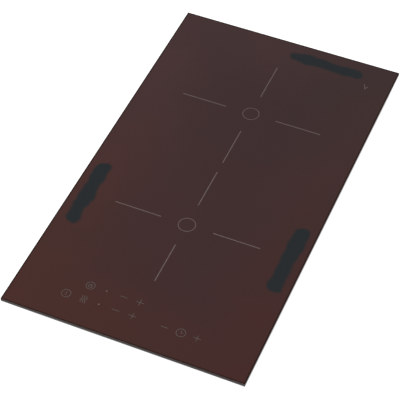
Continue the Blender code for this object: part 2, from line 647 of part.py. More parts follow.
def build_zone(name, y):
    """One cooking zone: ferrite, former, winding, mica sheet, and the sprung pan sensor in its eye."""
    centre = (0.0, y)
    hub = COIL_EYE_R + FERRITE_HUB_BEYOND_EYE
    outer = star(hub, COIL_R - FERRITE_INSIDE_COIL, FERRITE_BAR_W, FERRITE_BARS)
    inner = [(COIL_EYE_R * u / math.hypot(u, v), COIL_EYE_R * v / math.hypot(u, v)) for u, v in outer]
    section = [(outer, FERRITE_LOW_Z), (outer, FERRITE_TOP_Z),
               (inner, FERRITE_TOP_Z), (inner, FERRITE_LOW_Z)]
    loops = [[(u, y + v, z) for u, v in outline] for outline, z in section]
    piece(f"{name}_ferrite_star", loft(loops, closed=True), "ferrite")

    bore = SENSOR_STEM_R + STEM_CLEARANCE
    collar_top = GLASS_LOW_Z - COLLAR_BELOW_GLASS
    lip_top = FORMER_TOP_Z + FORMER_LIP_H
    profile = [(bore, FORMER_LOW_Z), (bore, FORMER_TOP_Z), (COLLAR_R - COLLAR_WALL, FORMER_TOP_Z),
               (COLLAR_R - COLLAR_WALL, collar_top), (COLLAR_R, collar_top), (COLLAR_R, FORMER_TOP_Z),
               (FORMER_R - FORMER_LIP_T, FORMER_TOP_Z), (FORMER_R - FORMER_LIP_T, lip_top),
               (FORMER_R, lip_top), (FORMER_R, FORMER_LOW_Z)]
    piece(f"{name}_coil_former", turned(profile, centre, closed=True), "former_plastic", smooth=True)

    edge = COIL_T / 4
    profile = [(COIL_EYE_R, COIL_LOW_Z), (COIL_EYE_R, COIL_TOP_Z), (COIL_R - edge, COIL_TOP_Z),
               (COIL_R, COIL_TOP_Z - edge), (COIL_R, COIL_LOW_Z + edge), (COIL_R - edge, COIL_LOW_Z)]
    piece(f"{name}_coil_winding", turned(profile, centre, closed=True), "copper_litz", smooth=True)

    profile = [(MICA_HOLE_R, MICA_TOP_Z - MICA_T), (MICA_HOLE_R, MICA_TOP_Z),
               (FORMER_R, MICA_TOP_Z), (FORMER_R, MICA_TOP_Z - MICA_T)]
    piece(f"{name}_mica_sheet", turned(profile, centre, closed=True), "mica", smooth=True)

    head_top = GLASS_LOW_Z - GAP
    head_low = head_top - SENSOR_HEAD_T
    profile = [(SENSOR_STEM_R, FORMER_LOW_Z - SENSOR_STEM_BELOW), (SENSOR_STEM_R, head_low),
               (SENSOR_HEAD_R, head_low), (SENSOR_HEAD_R, head_top - SENSOR_HEAD_EDGE),
               (SENSOR_HEAD_R - SENSOR_HEAD_EDGE, head_top)]
    head = turned(profile, centre, steps=2 * SMALL_ROUND)
    piece(f"{name}_pan_sensor", head, "sensor_ceramic", smooth=True)

    low = FORMER_TOP_Z + GAP + SPRING_WIRE_R
    rise = head_low - GAP - SPRING_WIRE_R - low
    count = SPRING_TURNS * SPRING_STEPS
    angles = [2 * math.pi * i / SPRING_STEPS for i in range(count + 1)]
    helix = [(SPRING_R * math.cos(a), y + SPRING_R * math.sin(a), low + rise * i / count)
             for i, a in enumerate(angles)]
    tube(f"{name}_sensor_spring", helix, SPRING_WIRE_R, "spring_steel", resolution=1)

    start = FORMER_R + GAP + SPRING_WIRE_R
    run = LEAD_X - start
    top = COIL_LOW_Z + FORMER_LIP_H / 2
    drop = PLATE_LOW_Z - PART_Z
    knots = [(start, y, top), (start + 0.3 * run, y, top), (start + 0.85 * run, y, top - LEAD_R),
             (LEAD_X, y, PLATE_TOP_Z), (LEAD_X, y, PLATE_LOW_Z - drop / 2), (LEAD_X, y, PART_Z)]
    tube(f"{name}_coil_lead", smooth_path(knots, 3), LEAD_R, "lead_insulation")


def build_bridge():
    """Aluminium bridge that stands in the tray and carries both coils above the boards."""
    front = ZONES["front"] - FORMER_R - PLATE_BEYOND_COIL
    rear = ZONES["rear"] + FORMER_R + PLATE_BEYOND_COIL
    foot = FLOOR_Z + GAP
    inner = PLATE_X - PLATE_T
    outline = [(-PLATE_X, foot), (-PLATE_X, PLATE_TOP_Z), (PLATE_X, PLATE_TOP_Z), (PLATE_X, foot),
               (inner, foot), (inner, PLATE_LOW_Z), (-inner, PLATE_LOW_Z), (-inner, foot)]
    bridge = piece("coil_bridge", prism(outline, "Y", front, rear), "aluminium_sheet")
    holes = bmesh.new()
    for y in ZONES.values():
        turned([(PLATE_HOLE_R, PLATE_LOW_Z - PLATE_T), (PLATE_HOLE_R, PLATE_TOP_Z + PLATE_T)],
               (0.0, y), steps=2 * SMALL_ROUND, bm=holes)
        box((LEAD_X - LEAD_SLOT_W / 2, LEAD_X + LEAD_SLOT_W / 2),
            (y - LEAD_SLOT_L / 2, y + LEAD_SLOT_L / 2), (PLATE_LOW_Z - PLATE_T, PLATE_TOP_Z + PLATE_T), holes)
        low = (foot + PLATE_LOW_Z - LEG_WINDOW_H) / 2
        box((-PLATE_X - PLATE_T, -inner + PLATE_T), (y - LEG_WINDOW_W / 2, y + LEG_WINDOW_W / 2),
            (low, low + LEG_WINDOW_H), holes)
        box((inner - PLATE_T, PLATE_X + PLATE_T), (y - LEG_WINDOW_W / 2, y + LEG_WINDOW_W / 2),
            (low, low + LEG_WINDOW_H), holes)
    combine(bridge, holes, "holes")


# ---- Boards and what stands on them -------------------------------------------------------------

def build_power_board():
    """Insulating sheet with posts, the power board on it and its components."""
    left, right = BOARD_LEFT_X, BOARD_RIGHT_X
    margin = BOARD_SHEET_MARGIN
    low = FLOOR_Z + GAP
    slab = box((left - margin, right + margin), (BOARD_FRONT_Y - margin, BOARD_REAR_Y + margin),
               (low, low + BOARD_SHEET_T))
    sheet = piece("board_sheet", slab, "insulating_sheet")
    posts = bmesh.new()
    for x in (left + 2 * POST_R, (left + right) / 2, right - 2 * POST_R):
        for y in (BOARD_FRONT_Y + 2 * POST_R, BOARD_REAR_Y - 2 * POST_R):
            turned([(POST_R, low + BOARD_SHEET_T / 2), (POST_R, BOARD_LOW_Z - GAP)], (x, y),
                   steps=SMALL_ROUND, bm=posts)
    combine(sheet, posts, "posts", "UNION")
    board = box((left, right), (BOARD_FRONT_Y, BOARD_REAR_Y), (BOARD_LOW_Z, BOARD_TOP_Z))
    piece("power_board", board, "board_green")

    pitch = (SINK_W - SINK_FIN_T) / (SINK_FINS - 1)
    base, top = PART_Z + SINK_BASE_T, PART_Z + SINK_H
    comb = [(SINK_RIGHT_X, PART_Z), (SINK_LEFT_X, PART_Z)]
    for fin in range(SINK_FINS):
        x = SINK_LEFT_X + fin * pitch
        if fin:
            comb.append((x, base))
        comb += [(x, top), (x + SINK_FIN_T, top)]
        if fin < SINK_FINS - 1:
            comb.append((x + SINK_FIN_T, base))
    sink_front = BOARD_Y - SINK_L / 2
    piece("heat_sink", prism(comb, "Y", sink_front, sink_front + SINK_L), "aluminium_sheet")

    device_x = (SINK_RIGHT_X + GAP, SINK_RIGHT_X + GAP + POWER_DEVICE_T)
    devices = [("rear_zone_igbt", 0.060, 0.016, 0.0145), ("bridge_rectifier", 0.0, 0.028, 0.0160),
               ("front_zone_igbt", -0.060, 0.016, 0.0145)]
    for name, y, width, height in devices:
        span = (BOARD_Y + y - width / 2, BOARD_Y + y + width / 2)
        piece(name, case(device_x, span, (PART_Z, PART_Z + height), DEVICE_EDGE), "component_black")

    cases = [("rear_resonant_capacitor", -0.018, 0.085, 0.032, 0.015, 0.0165, "component_blue"),
             ("front_resonant_capacitor", -0.018, -0.075, 0.032, 0.015, 0.0165, "component_blue"),
             ("link_capacitor", -0.010, 0.005, 0.040, 0.022, 0.0175, "component_blue"),
             ("filter_capacitor", 0.075, 0.030, 0.026, 0.012, 0.0155, "component_yellow"),
             ("mains_relay", 0.050, 0.105, 0.028, 0.014, 0.0155, "component_black"),
             ("supply_transformer", 0.062, -0.045, 0.024, 0.022, 0.0170, "component_yellow")]
    for name, x, y, width, depth, height, colour in cases:
        piece(name, case((x - width / 2, x + width / 2), (BOARD_Y + y - depth / 2, BOARD_Y + y + depth / 2),
                         (PART_Z, PART_Z + height), CASE_EDGE), colour)

    low, high, edge = PART_Z, PART_Z + CHOKE_H, CHOKE_EDGE
    profile = [(CHOKE_HOLE_R, low + edge), (CHOKE_HOLE_R, high - edge), (CHOKE_HOLE_R + edge, high),
               (CHOKE_R - edge, high), (CHOKE_R, high - edge), (CHOKE_R, low + edge),
               (CHOKE_R - edge, low), (CHOKE_HOLE_R + edge, low)]
    choke = turned(profile, (CHOKE_X, BOARD_Y + CHOKE_FROM_MIDDLE), steps=2 * SMALL_ROUND, closed=True)
    piece("filter_choke", choke, "copper_litz", smooth=True)


def build_fan():
    """Radial blower: housing with inlets above and below, motor on its spider, and the rotor."""
    half = FAN_SIZE / 2
    outline = [(FAN_X + u, FAN_Y + v) for u, v in rounded_rectangle(half, half, FAN_CORNER_R)]
    housing = piece("fan_housing", prism(outline, "Z", FAN_LOW_Z, FAN_TOP_Z), "housing_plastic")
    centre = (FAN_X, FAN_Y)
    low, high = FAN_LOW_Z + FAN_WALL, FAN_TOP_Z - FAN_WALL
    chamber_r = ROTOR_R + 2 * ROTOR_CLEARANCE
    combine(housing, turned([(chamber_r, low), (chamber_r, high)], centre), "chamber")
    outlet = (FAN_X - half + 2 * FAN_WALL, FAN_X + half / 3)
    combine(housing, box(outlet, (FAN_Y - half - FAN_WALL, FAN_Y - half / 2), (low, high)), "outlet")
    inlet = turned([(FAN_INLET_R, high - FAN_WALL), (FAN_INLET_R, FAN_TOP_Z + FAN_WALL)], centre)
    combine(housing, inlet, "inlet")
    sectors = bmesh.new()
    for arm in range(FAN_ARMS):
        start = 2 * math.pi * arm / FAN_ARMS + FAN_ARM_HALF_ANGLE
        end = 2 * math.pi * (arm + 1) / FAN_ARMS - FAN_ARM_HALF_ANGLE
        angles = [start + (end - start) * i / FAN_ARC_STEPS for i in range(FAN_ARC_STEPS + 1)]
        spoke_r = MOTOR_R + FAN_WALL
        outline = [(FAN_X + FAN_INLET_R * math.cos(a), FAN_Y + FAN_INLET_R * math.sin(a)) for a in angles]
        outline += [(FAN_X + spoke_r * math.cos(a), FAN_Y + spoke_r * math.sin(a)) for a in reversed(angles)]
        prism(outline, "Z", FAN_LOW_Z - FAN_WALL, low + FAN_WALL / 2, sectors)
    combine(housing, sectors, "lower_inlet")

    stator_low, stator_high = low + GAP, low + GAP + MOTOR_H
    shaft_top = high - 2 * ROTOR_CLEARANCE
    profile = [(MOTOR_R, stator_low), (MOTOR_R, stator_high),
               (MOTOR_SHAFT_R, stator_high), (MOTOR_SHAFT_R, shaft_top)]
    piece("fan_motor", turned(profile, centre, steps=2 * SMALL_ROUND), "component_black", smooth=True)

    rotor_low, rotor_high = low + ROTOR_CLEARANCE, high - ROTOR_CLEARANCE
    outline = [(FAN_X + u, FAN_Y + v)
               for u, v in star(ROTOR_HUB_R, ROTOR_R, ROTOR_BLADE_T, ROTOR_BLADES, ROTOR_BLADE_SWEEP)]
    rotor = piece("fan_rotor", prism(outline, "Z", rotor_low, rotor_high), "housing_plastic")
    bore_r, cup_r = MOTOR_SHAFT_R + SHAFT_CLEARANCE, MOTOR_R + ROTOR_CLEARANCE
    below, cup_top, above = rotor_low - FAN_WALL, stator_high + ROTOR_CLEARANCE, rotor_high + FAN_WALL
    profile = [(cup_r, below), (cup_r, cup_top), (bore_r, cup_top), (bore_r, above)]
    cup = turned(profile, centre, steps=2 * SMALL_ROUND)
    combine(rotor, cup, "cup")


def build_controls():
    """Touch board with its contact springs, its carrier, the light guide and the ribbon below."""
    x0, x1 = TOUCH_BOARD_X
    m = CARRIER_MARGIN
    top = TOUCH_LOW_Z - GAP
    tray = box((x0 - m, x1 + m), (TOUCH_Y0 - m, TOUCH_Y1 + m), (top - CARRIER_T, top))
    carrier = piece("touch_carrier", tray, "housing_plastic")
    legs = bmesh.new()
    for x in (x0, x1 - CARRIER_LEG):
        for y in (TOUCH_Y0 + m, TOUCH_Y1 - CARRIER_LEG):
            box((x, x + CARRIER_LEG), (y, y + CARRIER_LEG), (FLOOR_Z + GAP, top - CARRIER_T / 2), legs)
    combine(carrier, legs, "legs", "UNION")

    slab = box((x0, x1), (TOUCH_Y0, TOUCH_Y1), (TOUCH_LOW_Z, TOUCH_TOP_Z))
    board = piece("touch_board", slab, "board_green")
    keys = bmesh.new()
    key = [(KEY_SPRING_R, TOUCH_LOW_Z + BOARD_T / 2), (KEY_SPRING_R, GLASS_LOW_Z - GAP)]
    for row_y, columns in ((TOUCH_REAR_Y, KEYS_REAR_X), (TOUCH_FRONT_Y, KEYS_FRONT_X)):
        for x in columns:
            turned(key, (x, row_y), steps=SMALL_ROUND, bm=keys)
    combine(board, keys, "contact_springs", "UNION")

    reach = LIGHT_GUIDE_W / 2
    piece("light_guide", case((LIGHT_GUIDE_X - reach, LIGHT_GUIDE_X + reach),
                              (TOUCH_FRONT_Y - reach, TOUCH_REAR_Y + reach),
                              (TOUCH_TOP_Z + GAP, GLASS_LOW_Z - GAP), LIGHT_GUIDE_EDGE), "light_guide")

    ribbon_y, ribbon_z = TOUCH_Y1 + m + GAP, TOUCH_LOW_Z + BOARD_T / 2
    line = [(ribbon_y, ribbon_z), (ribbon_y + RIBBON_STRAIGHT, ribbon_z),
            (ribbon_y + 2 * RIBBON_STRAIGHT, ribbon_z - RIBBON_STRAIGHT),
            (BOARD_FRONT_Y - 2 * RIBBON_STRAIGHT, PART_Z + RIBBON_STRAIGHT),
            (BOARD_FRONT_Y - RIBBON_STRAIGHT / 2, PART_Z + RIBBON_T / 2 + GAP),
            (BOARD_FRONT_Y + RIBBON_ON_BOARD, PART_Z + RIBBON_T / 2)]
    piece("control_ribbon", prism(strip(line, RIBBON_T), "X", RIBBON_X, RIBBON_X + RIBBON_W), "ribbon_grey")


# ---- Mains connection ---------------------------------------------------------------------------

def build_terminals():
    """Terminal box set in the tray's rear wall, its block, the hinged cover and the cable grommet."""
    half, wall = BOX_W / 2, BOX_WALL
    plate_y = (TRAY_Y + GAP, COLLAR_FACE_Y)
    plate_x = (BOX_X - half - COLLAR_PLATE_MARGIN, BOX_X + half + COLLAR_PLATE_MARGIN)
    plate_z = (BOX_BOTTOM_Z - COLLAR_PLATE_BELOW, BOX_TOP_Z + COLLAR_PLATE_MARGIN)
    front_y = TRAY_Y - BOX_DEPTH
    shell = piece("terminal_box", box(plate_x, plate_y, plate_z), "housing_plastic")
    combine(shell, box((BOX_X - half, BOX_X + half), (front_y, plate_y[0] + COLLAR_PLATE_T / 2),
                       (BOX_BOTTOM_Z, BOX_TOP_Z)), "tub", "UNION")
    ears = bmesh.new()
    pins = bmesh.new()
    ear_z = (HINGE_Z - KNUCKLE_R - GAP, plate_z[1])
    for sign in (-1, 1):
        far = BOX_X + sign * (half + COLLAR_PLATE_MARGIN)
        near = far - sign * EAR_W
        box(sorted((near, far)), (plate_y[0] + COLLAR_PLATE_T / 2, HINGE_Y + KNUCKLE_R), ear_z, ears)
        radius = HINGE_PIN_R + HINGE_PIN_CLEARANCE
        turned([(radius, near - sign * GAP), (radius, far - sign * EAR_W / 4)], (HINGE_Y, HINGE_Z), "X",
               SMALL_ROUND, bm=pins)
    combine(shell, ears, "ears", "UNION")
    combine(shell, pins, "pin_holes")
    combine(shell, box((BOX_X - half + wall, BOX_X + half - wall), (front_y + wall, COLLAR_FACE_Y + wall),
                       (BOX_BOTTOM_Z + wall, BOX_TOP_Z - wall)), "inside")
    way_y = front_y + 4 * wall
    cable_way = box((BOX_X - half - wall, BOX_X - half + 2 * wall), (way_y, way_y + CABLE_WAY_W),
                    (BOX_BOTTOM_Z + 2 * wall, BOX_TOP_Z - 2 * wall))
    combine(shell, cable_way, "cable_way")

    block_x = (BOX_X - BLOCK_W / 2, BOX_X + BLOCK_W / 2)
    block_y = (front_y + wall + GAP, front_y + wall + GAP + BLOCK_D)
    block_z = (BOX_BOTTOM_Z + wall + GAP, BOX_BOTTOM_Z + wall + GAP + BLOCK_H)
    block = piece("terminal_block", box(block_x, block_y, block_z), "terminal_plastic")
    wells = bmesh.new()
    for way in range(BLOCK_WAYS):
        x = block_x[0] + BLOCK_W / BLOCK_WAYS * (way + 0.5)
        box((x - WELL_HALF_W, x + WELL_HALF_W), (block_y[1] - WELL_D, block_y[1] + GAP),
            (block_z[0] + WELL_Z[0], block_z[0] + WELL_Z[1]), wells)
        box((x - SCREW_WELL_HALF_W, x + SCREW_WELL_HALF_W),
            (block_y[0] + SCREW_WELL_Y[0], block_y[0] + SCREW_WELL_Y[1]),
            (block_z[1] - SCREW_WELL_D, block_z[1] + GAP), wells)
    combine(block, wells, "wells")

    cover_x = (plate_x[0] + EAR_W + GAP, plate_x[1] - EAR_W - GAP)
    cover_y = (COLLAR_FACE_Y + GAP, COLLAR_FACE_Y + GAP + COVER_T)
    foot = plate_z[0] + GAP
    outline = [(cover_y[0], foot), (cover_y[1] + COVER_LIP, foot), (cover_y[1] + COVER_LIP, foot + COVER_T),
               (cover_y[1], foot + 2 * COVER_T), (cover_y[1], HINGE_Z), (cover_y[0], HINGE_Z)]
    cover = piece("terminal_cover", prism(outline, "X", *cover_x), "housing_plastic")
    pin_reach = EAR_W / 2
    left, right = cover_x
    profile = [(HINGE_PIN_R, left - pin_reach), (HINGE_PIN_R, left), (KNUCKLE_R, left),
               (KNUCKLE_R, right), (HINGE_PIN_R, right), (HINGE_PIN_R, right + pin_reach)]
    spine = turned(profile, (HINGE_Y, HINGE_Z), "X", SMALL_ROUND)
    combine(cover, spine, "spine", "UNION")

    outer, inner = TRAY_Y + GAP, INNER_Y - GAP
    profile = [(INLET_BORE_R, inner - GROMMET_FLANGE_T), (GROMMET_FLANGE_R, inner - GROMMET_FLANGE_T),
               (GROMMET_FLANGE_R, inner), (GROMMET_R, inner), (GROMMET_R, outer), (GROMMET_FLANGE_R, outer),
               (GROMMET_FLANGE_R - GROMMET_EDGE, outer + GROMMET_FLANGE_T),
               (INLET_BORE_R, outer + GROMMET_FLANGE_T)]
    grommet = turned(profile, (INLET_X, INLET_Z), "Y", 2 * SMALL_ROUND, closed=True)
    piece("cable_grommet", grommet, "grommet_rubber", smooth=True)


def main():
    for obj in list(bpy.data.objects):
        bpy.data.objects.remove(obj, do_unlink=True)
    build_glass()
    build_frame()
    build_tray()
    build_screws()
    build_clips()
    for name, y in ZONES.items():
        build_zone(name, y)
    build_bridge()
    build_power_board()
    build_fan()
    build_controls()
    build_terminals()


main()
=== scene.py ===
# %% [markdown]
# # A two-zone induction hob, looked at from above
#
# A built-in hob is a plate of dark glass with a shallow steel box under it. The box's pieces already exist
# as plain solids, in the frame that this script loads. The script keeps those solids whose shape is right
# and gives them a finish. The others it replaces by finer surfaces of the same size: the ground glass
# plate, the foam seal, the spring clips, the screws and the windings. Each surface is worked out with
# numpy, and each finish is a small network of shader nodes that is written as arithmetic.

import math

import bpy
import numpy as np
from mathutils import Matrix, Vector


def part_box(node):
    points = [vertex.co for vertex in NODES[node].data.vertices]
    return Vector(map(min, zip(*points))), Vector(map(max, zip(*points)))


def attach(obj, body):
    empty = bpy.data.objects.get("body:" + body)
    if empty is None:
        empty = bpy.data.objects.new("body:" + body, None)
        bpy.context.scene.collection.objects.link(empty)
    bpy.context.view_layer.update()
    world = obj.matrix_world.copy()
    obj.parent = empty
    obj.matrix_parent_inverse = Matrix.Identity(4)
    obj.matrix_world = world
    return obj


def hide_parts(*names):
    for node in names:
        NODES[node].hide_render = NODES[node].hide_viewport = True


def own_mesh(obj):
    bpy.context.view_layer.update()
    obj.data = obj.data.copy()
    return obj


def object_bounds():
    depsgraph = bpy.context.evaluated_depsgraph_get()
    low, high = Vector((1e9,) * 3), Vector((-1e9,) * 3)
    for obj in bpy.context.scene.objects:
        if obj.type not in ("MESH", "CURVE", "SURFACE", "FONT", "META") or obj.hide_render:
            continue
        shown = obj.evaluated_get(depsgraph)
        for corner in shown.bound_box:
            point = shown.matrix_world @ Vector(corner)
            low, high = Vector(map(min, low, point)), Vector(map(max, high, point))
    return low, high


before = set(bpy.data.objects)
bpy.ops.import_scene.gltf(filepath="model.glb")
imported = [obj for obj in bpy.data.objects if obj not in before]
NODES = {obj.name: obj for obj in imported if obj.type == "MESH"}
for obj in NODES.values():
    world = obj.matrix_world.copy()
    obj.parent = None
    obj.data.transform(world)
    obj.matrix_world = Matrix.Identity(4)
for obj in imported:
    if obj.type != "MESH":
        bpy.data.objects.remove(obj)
CAD_BOX = [list(corner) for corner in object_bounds()]
ROOT = "housing"
MM = 0.001


def placed(name, data):
    """A new object, put into the scene."""
    made = bpy.data.objects.new(name, data)
    bpy.context.collection.objects.link(made)
    return made


print("whole hob, metres:", CAD_BOX)

# %% [markdown]
# ## The camera
#
# A long lens far from the hob keeps its edges almost parallel, which is how a catalogue picture of such a
# flat thing is taken. The camera is placed by a compass direction, a height angle and a distance from one
# point on the glass, because these are what a photographer would change. It leans by two thirds of a
# degree.

# %% Camera
AZIMUTH, ELEVATION, ROLL = math.radians(22.615), math.radians(47.861), math.radians(0.655)
DISTANCE, LENS, SENSOR = 1.7916, 138.65, 36.0
AIM = np.array([-0.0009, -0.0383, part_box("glass_plate")[1].z])


def aim_camera():
    """Camera matrix: the look direction comes from two angles, and the roll turns it about that direction."""
    towards = np.array([math.sin(AZIMUTH) * math.cos(ELEVATION),
                        -math.cos(AZIMUTH) * math.cos(ELEVATION), math.sin(ELEVATION)])
    right = np.cross(-towards, [0.0, 0.0, 1.0])
    right /= np.linalg.norm(right)
    up = np.cross(right, -towards)
    turned_right = math.cos(ROLL) * right + math.sin(ROLL) * up
    turned_up = math.cos(ROLL) * up - math.sin(ROLL) * right
    matrix = np.eye(4)
    matrix[:3, :3] = np.column_stack([turned_right, turned_up, towards])
    matrix[:3, 3] = AIM + DISTANCE * towards
    return Matrix(matrix.tolist())


camera_data = bpy.data.cameras.new("camera")
camera_data.lens, camera_data.sensor_width = LENS, SENSOR
camera = placed("camera", camera_data)
camera.matrix_world = aim_camera()
bpy.context.scene.camera = camera

# %% [markdown]
# ## Shader maths as arithmetic
#
# A shader network is a formula drawn with boxes. Written as Python it stays readable: a `Wire` stands for
# one output socket, and adding or multiplying wires adds the Math nodes that do it. `Finish` owns one
# material. Its method `node` makes any other node from its type, its settings and its inputs. Values that
# are the same everywhere go straight onto the shader's own sockets.

# %% Wires and finishes
class Wire:
    """An output socket that takes part in sums; every operator adds one Math node."""

    def __init__(self, finish, socket):
        self.finish, self.socket = finish, socket

    def math(self, operation, *values):
        inputs = dict(enumerate(values))
        return self.finish.node("ShaderNodeMath", {"operation": operation}, inputs)

    def __add__(self, other):
        return self.math("ADD", self, other)

    def __sub__(self, other):
        return self.math("SUBTRACT", self, other)

    def __rsub__(self, other):
        return self.math("SUBTRACT", other, self)

    def __mul__(self, other):
        return self.math("MULTIPLY", self, other)

    def __pow__(self, other):
        return self.math("POWER", self, other)

    __radd__, __rmul__ = __add__, __mul__

    def size(self):
        return self.math("ABSOLUTE", self)

    def most(self, other):
        return self.math("MAXIMUM", self, other)

    def least(self, other):
        return self.math("MINIMUM", self, other)

    def wave(self):
        return self.math("SINE", self)

    def rise(self, low, high):
        """0 below low, 1 above high, and an S-curve between them; low may be the larger."""
        return self.finish.node("ShaderNodeMapRange", {"interpolation_type": "SMOOTHSTEP"},
                                {"Value": self, "From Min": low, "From Max": high})


class Finish:
    """One Principled material; constants go on its own sockets, and what varies is fed to them."""

    def __init__(self, name, colour=(0.5, 0.5, 0.5), roughness=0.5, metallic=0.0, **constants):
        self.material = bpy.data.materials.new(name)
        self.material.use_nodes = True
        self.tree = self.material.node_tree
        self.shader = self.tree.nodes["Principled BSDF"]
        self.shader.inputs["Base Color"].default_value = (*colour, 1.0)
        self.shader.inputs["Roughness"].default_value = roughness
        self.shader.inputs["Metallic"].default_value = metallic
        for socket, value in constants.items():
            self.shader.inputs[socket.replace("_", " ")].default_value = value
        self.material.diffuse_color = (*colour, 1.0)

    def node(self, kind, settings=None, inputs=None, out=0):
        made = self.tree.nodes.new(kind)
        for key, value in (settings or {}).items():
            setattr(made, key, value)
        for key, value in (inputs or {}).items():
            if isinstance(value, Wire):
                self.tree.links.new(value.socket, made.inputs[key])
            else:
                made.inputs[key].default_value = value
        return Wire(self, made.outputs[out])

    def feed(self, socket, wire):
        self.tree.links.new(wire.socket, self.shader.inputs[socket])

    def place(self):
        """The point on the object, in metres, as a vector."""
        return self.node("ShaderNodeTexCoord", out="Object")

    def axes(self):
        split = self.node("ShaderNodeSeparateXYZ", inputs={0: self.place()}).socket.node
        return [Wire(self, socket) for socket in split.outputs]

    def stretched(self, x, y, z):
        """The object's point with each axis scaled, so that a pattern is drawn out along one of them."""
        return self.node("ShaderNodeMapping", inputs={"Vector": self.place(), "Scale": (x, y, z)})

    def noise(self, scale, detail=3.0, rough=0.5, at=None):
        return self.node("ShaderNodeTexNoise", inputs={"Vector": at or self.place(), "Scale": scale,
                                                        "Detail": detail, "Roughness": rough})

    def cells(self, scale, out="Color", at=None):
        inputs = {"Vector": at or self.place(), "Scale": scale}
        return self.node("ShaderNodeTexVoronoi", inputs=inputs, out=out)

    def blend(self, share, first, second):
        """Colour between two others, each a triple or a wire."""
        first, second = [c if isinstance(c, Wire) else (*c, 1.0) for c in (first, second)]
        return self.node("ShaderNodeMix", {"data_type": "RGBA"}, {0: share, 6: first, 7: second}, out=2)

    def paint(self, share, first, second):
        self.feed("Base Color", self.blend(share, first, second))

    def bump(self, height, distance, strength=1.0):
        self.feed("Normal", self.node("ShaderNodeBump", inputs={"Height": height, "Distance": distance,
                                                                "Strength": strength}))


# %% [markdown]
# ## Surfaces from numbers
#
# Every new piece is one grid of points, or a few. Rows run along the piece and columns run around it. The
# helper below joins each grid into quads as whole arrays and closes its ends. It also measures the enclosed
# volume. If that is negative the faces point inwards, and they are turned round.

# %% Surface helper
def enclosed(points, faces):
    """Signed volume: six times it is the sum of the boxes that each triangle spans with the origin."""
    total = 0.0
    for size in {len(face) for face in faces}:
        corners = points[np.array([face for face in faces if len(face) == size])]
        for i in range(1, size - 1):
            total += np.einsum("ij,ij->i", corners[:, 0], np.cross(corners[:, i], corners[:, i + 1])).sum()
    return total / 6


def grid_faces(points, along, around, hide):
    """Quads between neighbouring rows and columns; along and around say which direction closes on itself."""
    rows, columns = points.shape[:2]
    index = np.arange(rows * columns).reshape(rows, columns)
    ahead = np.roll(index, -1, axis=0) if along else index[1:]
    here = index if along else index[:-1]
    base = np.arange(columns) if around else np.arange(columns - 1)
    side = (base + 1) % columns
    quads = np.stack([here[:, base], here[:, side], ahead[:, side], ahead[:, base]], -1)
    faces = (quads[~hide] if hide is not None else quads.reshape(-1, 4)).tolist()
    if around and not along:
        faces += [index[0][::-1].tolist(), index[-1].tolist()]
    if around and enclosed(points.reshape(-1, 3), faces) < 0:
        faces = [face[::-1] for face in faces]
    return faces


def surface(name, grids, body=ROOT, along=False, around=True, smooth=35.0, hide=None, uv=None):
    """One mesh from grids of points[row, column, xyz]; it rides on a body and may carry its own UV map."""
    points, faces = [], []
    for grid in (grids if isinstance(grids, list) else [grids]):
        grid = np.asarray(grid, float)
        faces += [[corner + len(points) for corner in face] for face in grid_faces(grid, along, around, hide)]
        points += grid.reshape(-1, 3).tolist()
    mesh = bpy.data.meshes.new(name)
    mesh.from_pydata(points, [], faces)
    if uv is not None:
        layer = mesh.uv_layers.new(name="run")
        corners = np.zeros(len(mesh.loops), int)
        mesh.loops.foreach_get("vertex_index", corners)
        layer.data.foreach_set("uv", np.asarray(uv, float).reshape(-1, 2)[corners].ravel())
    mesh.update()
    if smooth:
        mesh.shade_smooth()
        mesh.set_sharp_from_angle(angle=math.radians(smooth))
    piece = placed(name, mesh)
    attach(piece, body)
    return piece


def wear(piece, finish):
    """Puts a finish on a piece."""
    piece.data.materials.clear()
    piece.data.materials.append(finish.material)
    return piece


def stand_in(node, name, grids, finish, slot, **how):
    """A finer surface that is shown in place of a node's own solid."""
    piece = surface(name, grids, **how)
    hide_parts(node)
    return wear(piece, finish)


def turn(count, start=0.0, sweep=2 * math.pi, closed=True):
    """Angles spread over a sweep; a closed one leaves out its last angle."""
    return start + sweep * np.arange(count) / (count if closed else count - 1)


def middle(node):
    """Centre of a node's box, with its lowest and highest point."""
    low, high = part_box(node)
    return (low + high) / 2, low, high


# %% [markdown]
# ## Three families of shape
#
# Most pieces of the hob are one of three things: a plate whose outline is pulled in as it rises, a body
# turned about an axis, or a wire swept along a path. Each family gets a function from its few measures to
# a grid of points.

# %% Plates, turned bodies and wires
def outline(half_x, half_y, radius, steps=8, centre=(0.0, 0.0)):
    """Points of a rectangle whose corners are quarter circles."""
    quarter = np.repeat(np.arange(4), steps)
    angle = np.tile(turn(steps, 0.0, math.pi / 2, closed=False), 4) + quarter * math.pi / 2
    sx, sy = np.where((quarter == 0) | (quarter == 3), 1, -1), np.where(quarter < 2, 1, -1)
    return np.column_stack([centre[0] + sx * (half_x - radius) + radius * np.cos(angle),
                            centre[1] + sy * (half_y - radius) + radius * np.sin(angle)])


def plate_rows(half_x, half_y, radius, profile, steps=8, centre=(0.0, 0.0)):
    """One ring of points for each (inset, height) of a profile."""
    rows = []
    for inset, height in profile:
        ring = outline(half_x - inset, half_y - inset, max(radius - inset, 0.0001), steps, centre)
        rows.append(np.column_stack([ring, np.full(len(ring), height)]))
    return np.array(rows)


def block(low, high, edge, corner=None):
    """A box with chamfered long edges and round corners, standing between two corner points."""
    half_x, half_y = (high[0] - low[0]) / 2, (high[1] - low[1]) / 2
    corner = corner or 1.5 * edge
    profile = [(edge, low[2]), (0.0, low[2] + edge), (0.0, high[2] - edge), (edge, high[2])]
    return plate_rows(half_x, half_y, corner, profile, 4, ((low[0] + high[0]) / 2, (low[1] + high[1]) / 2))


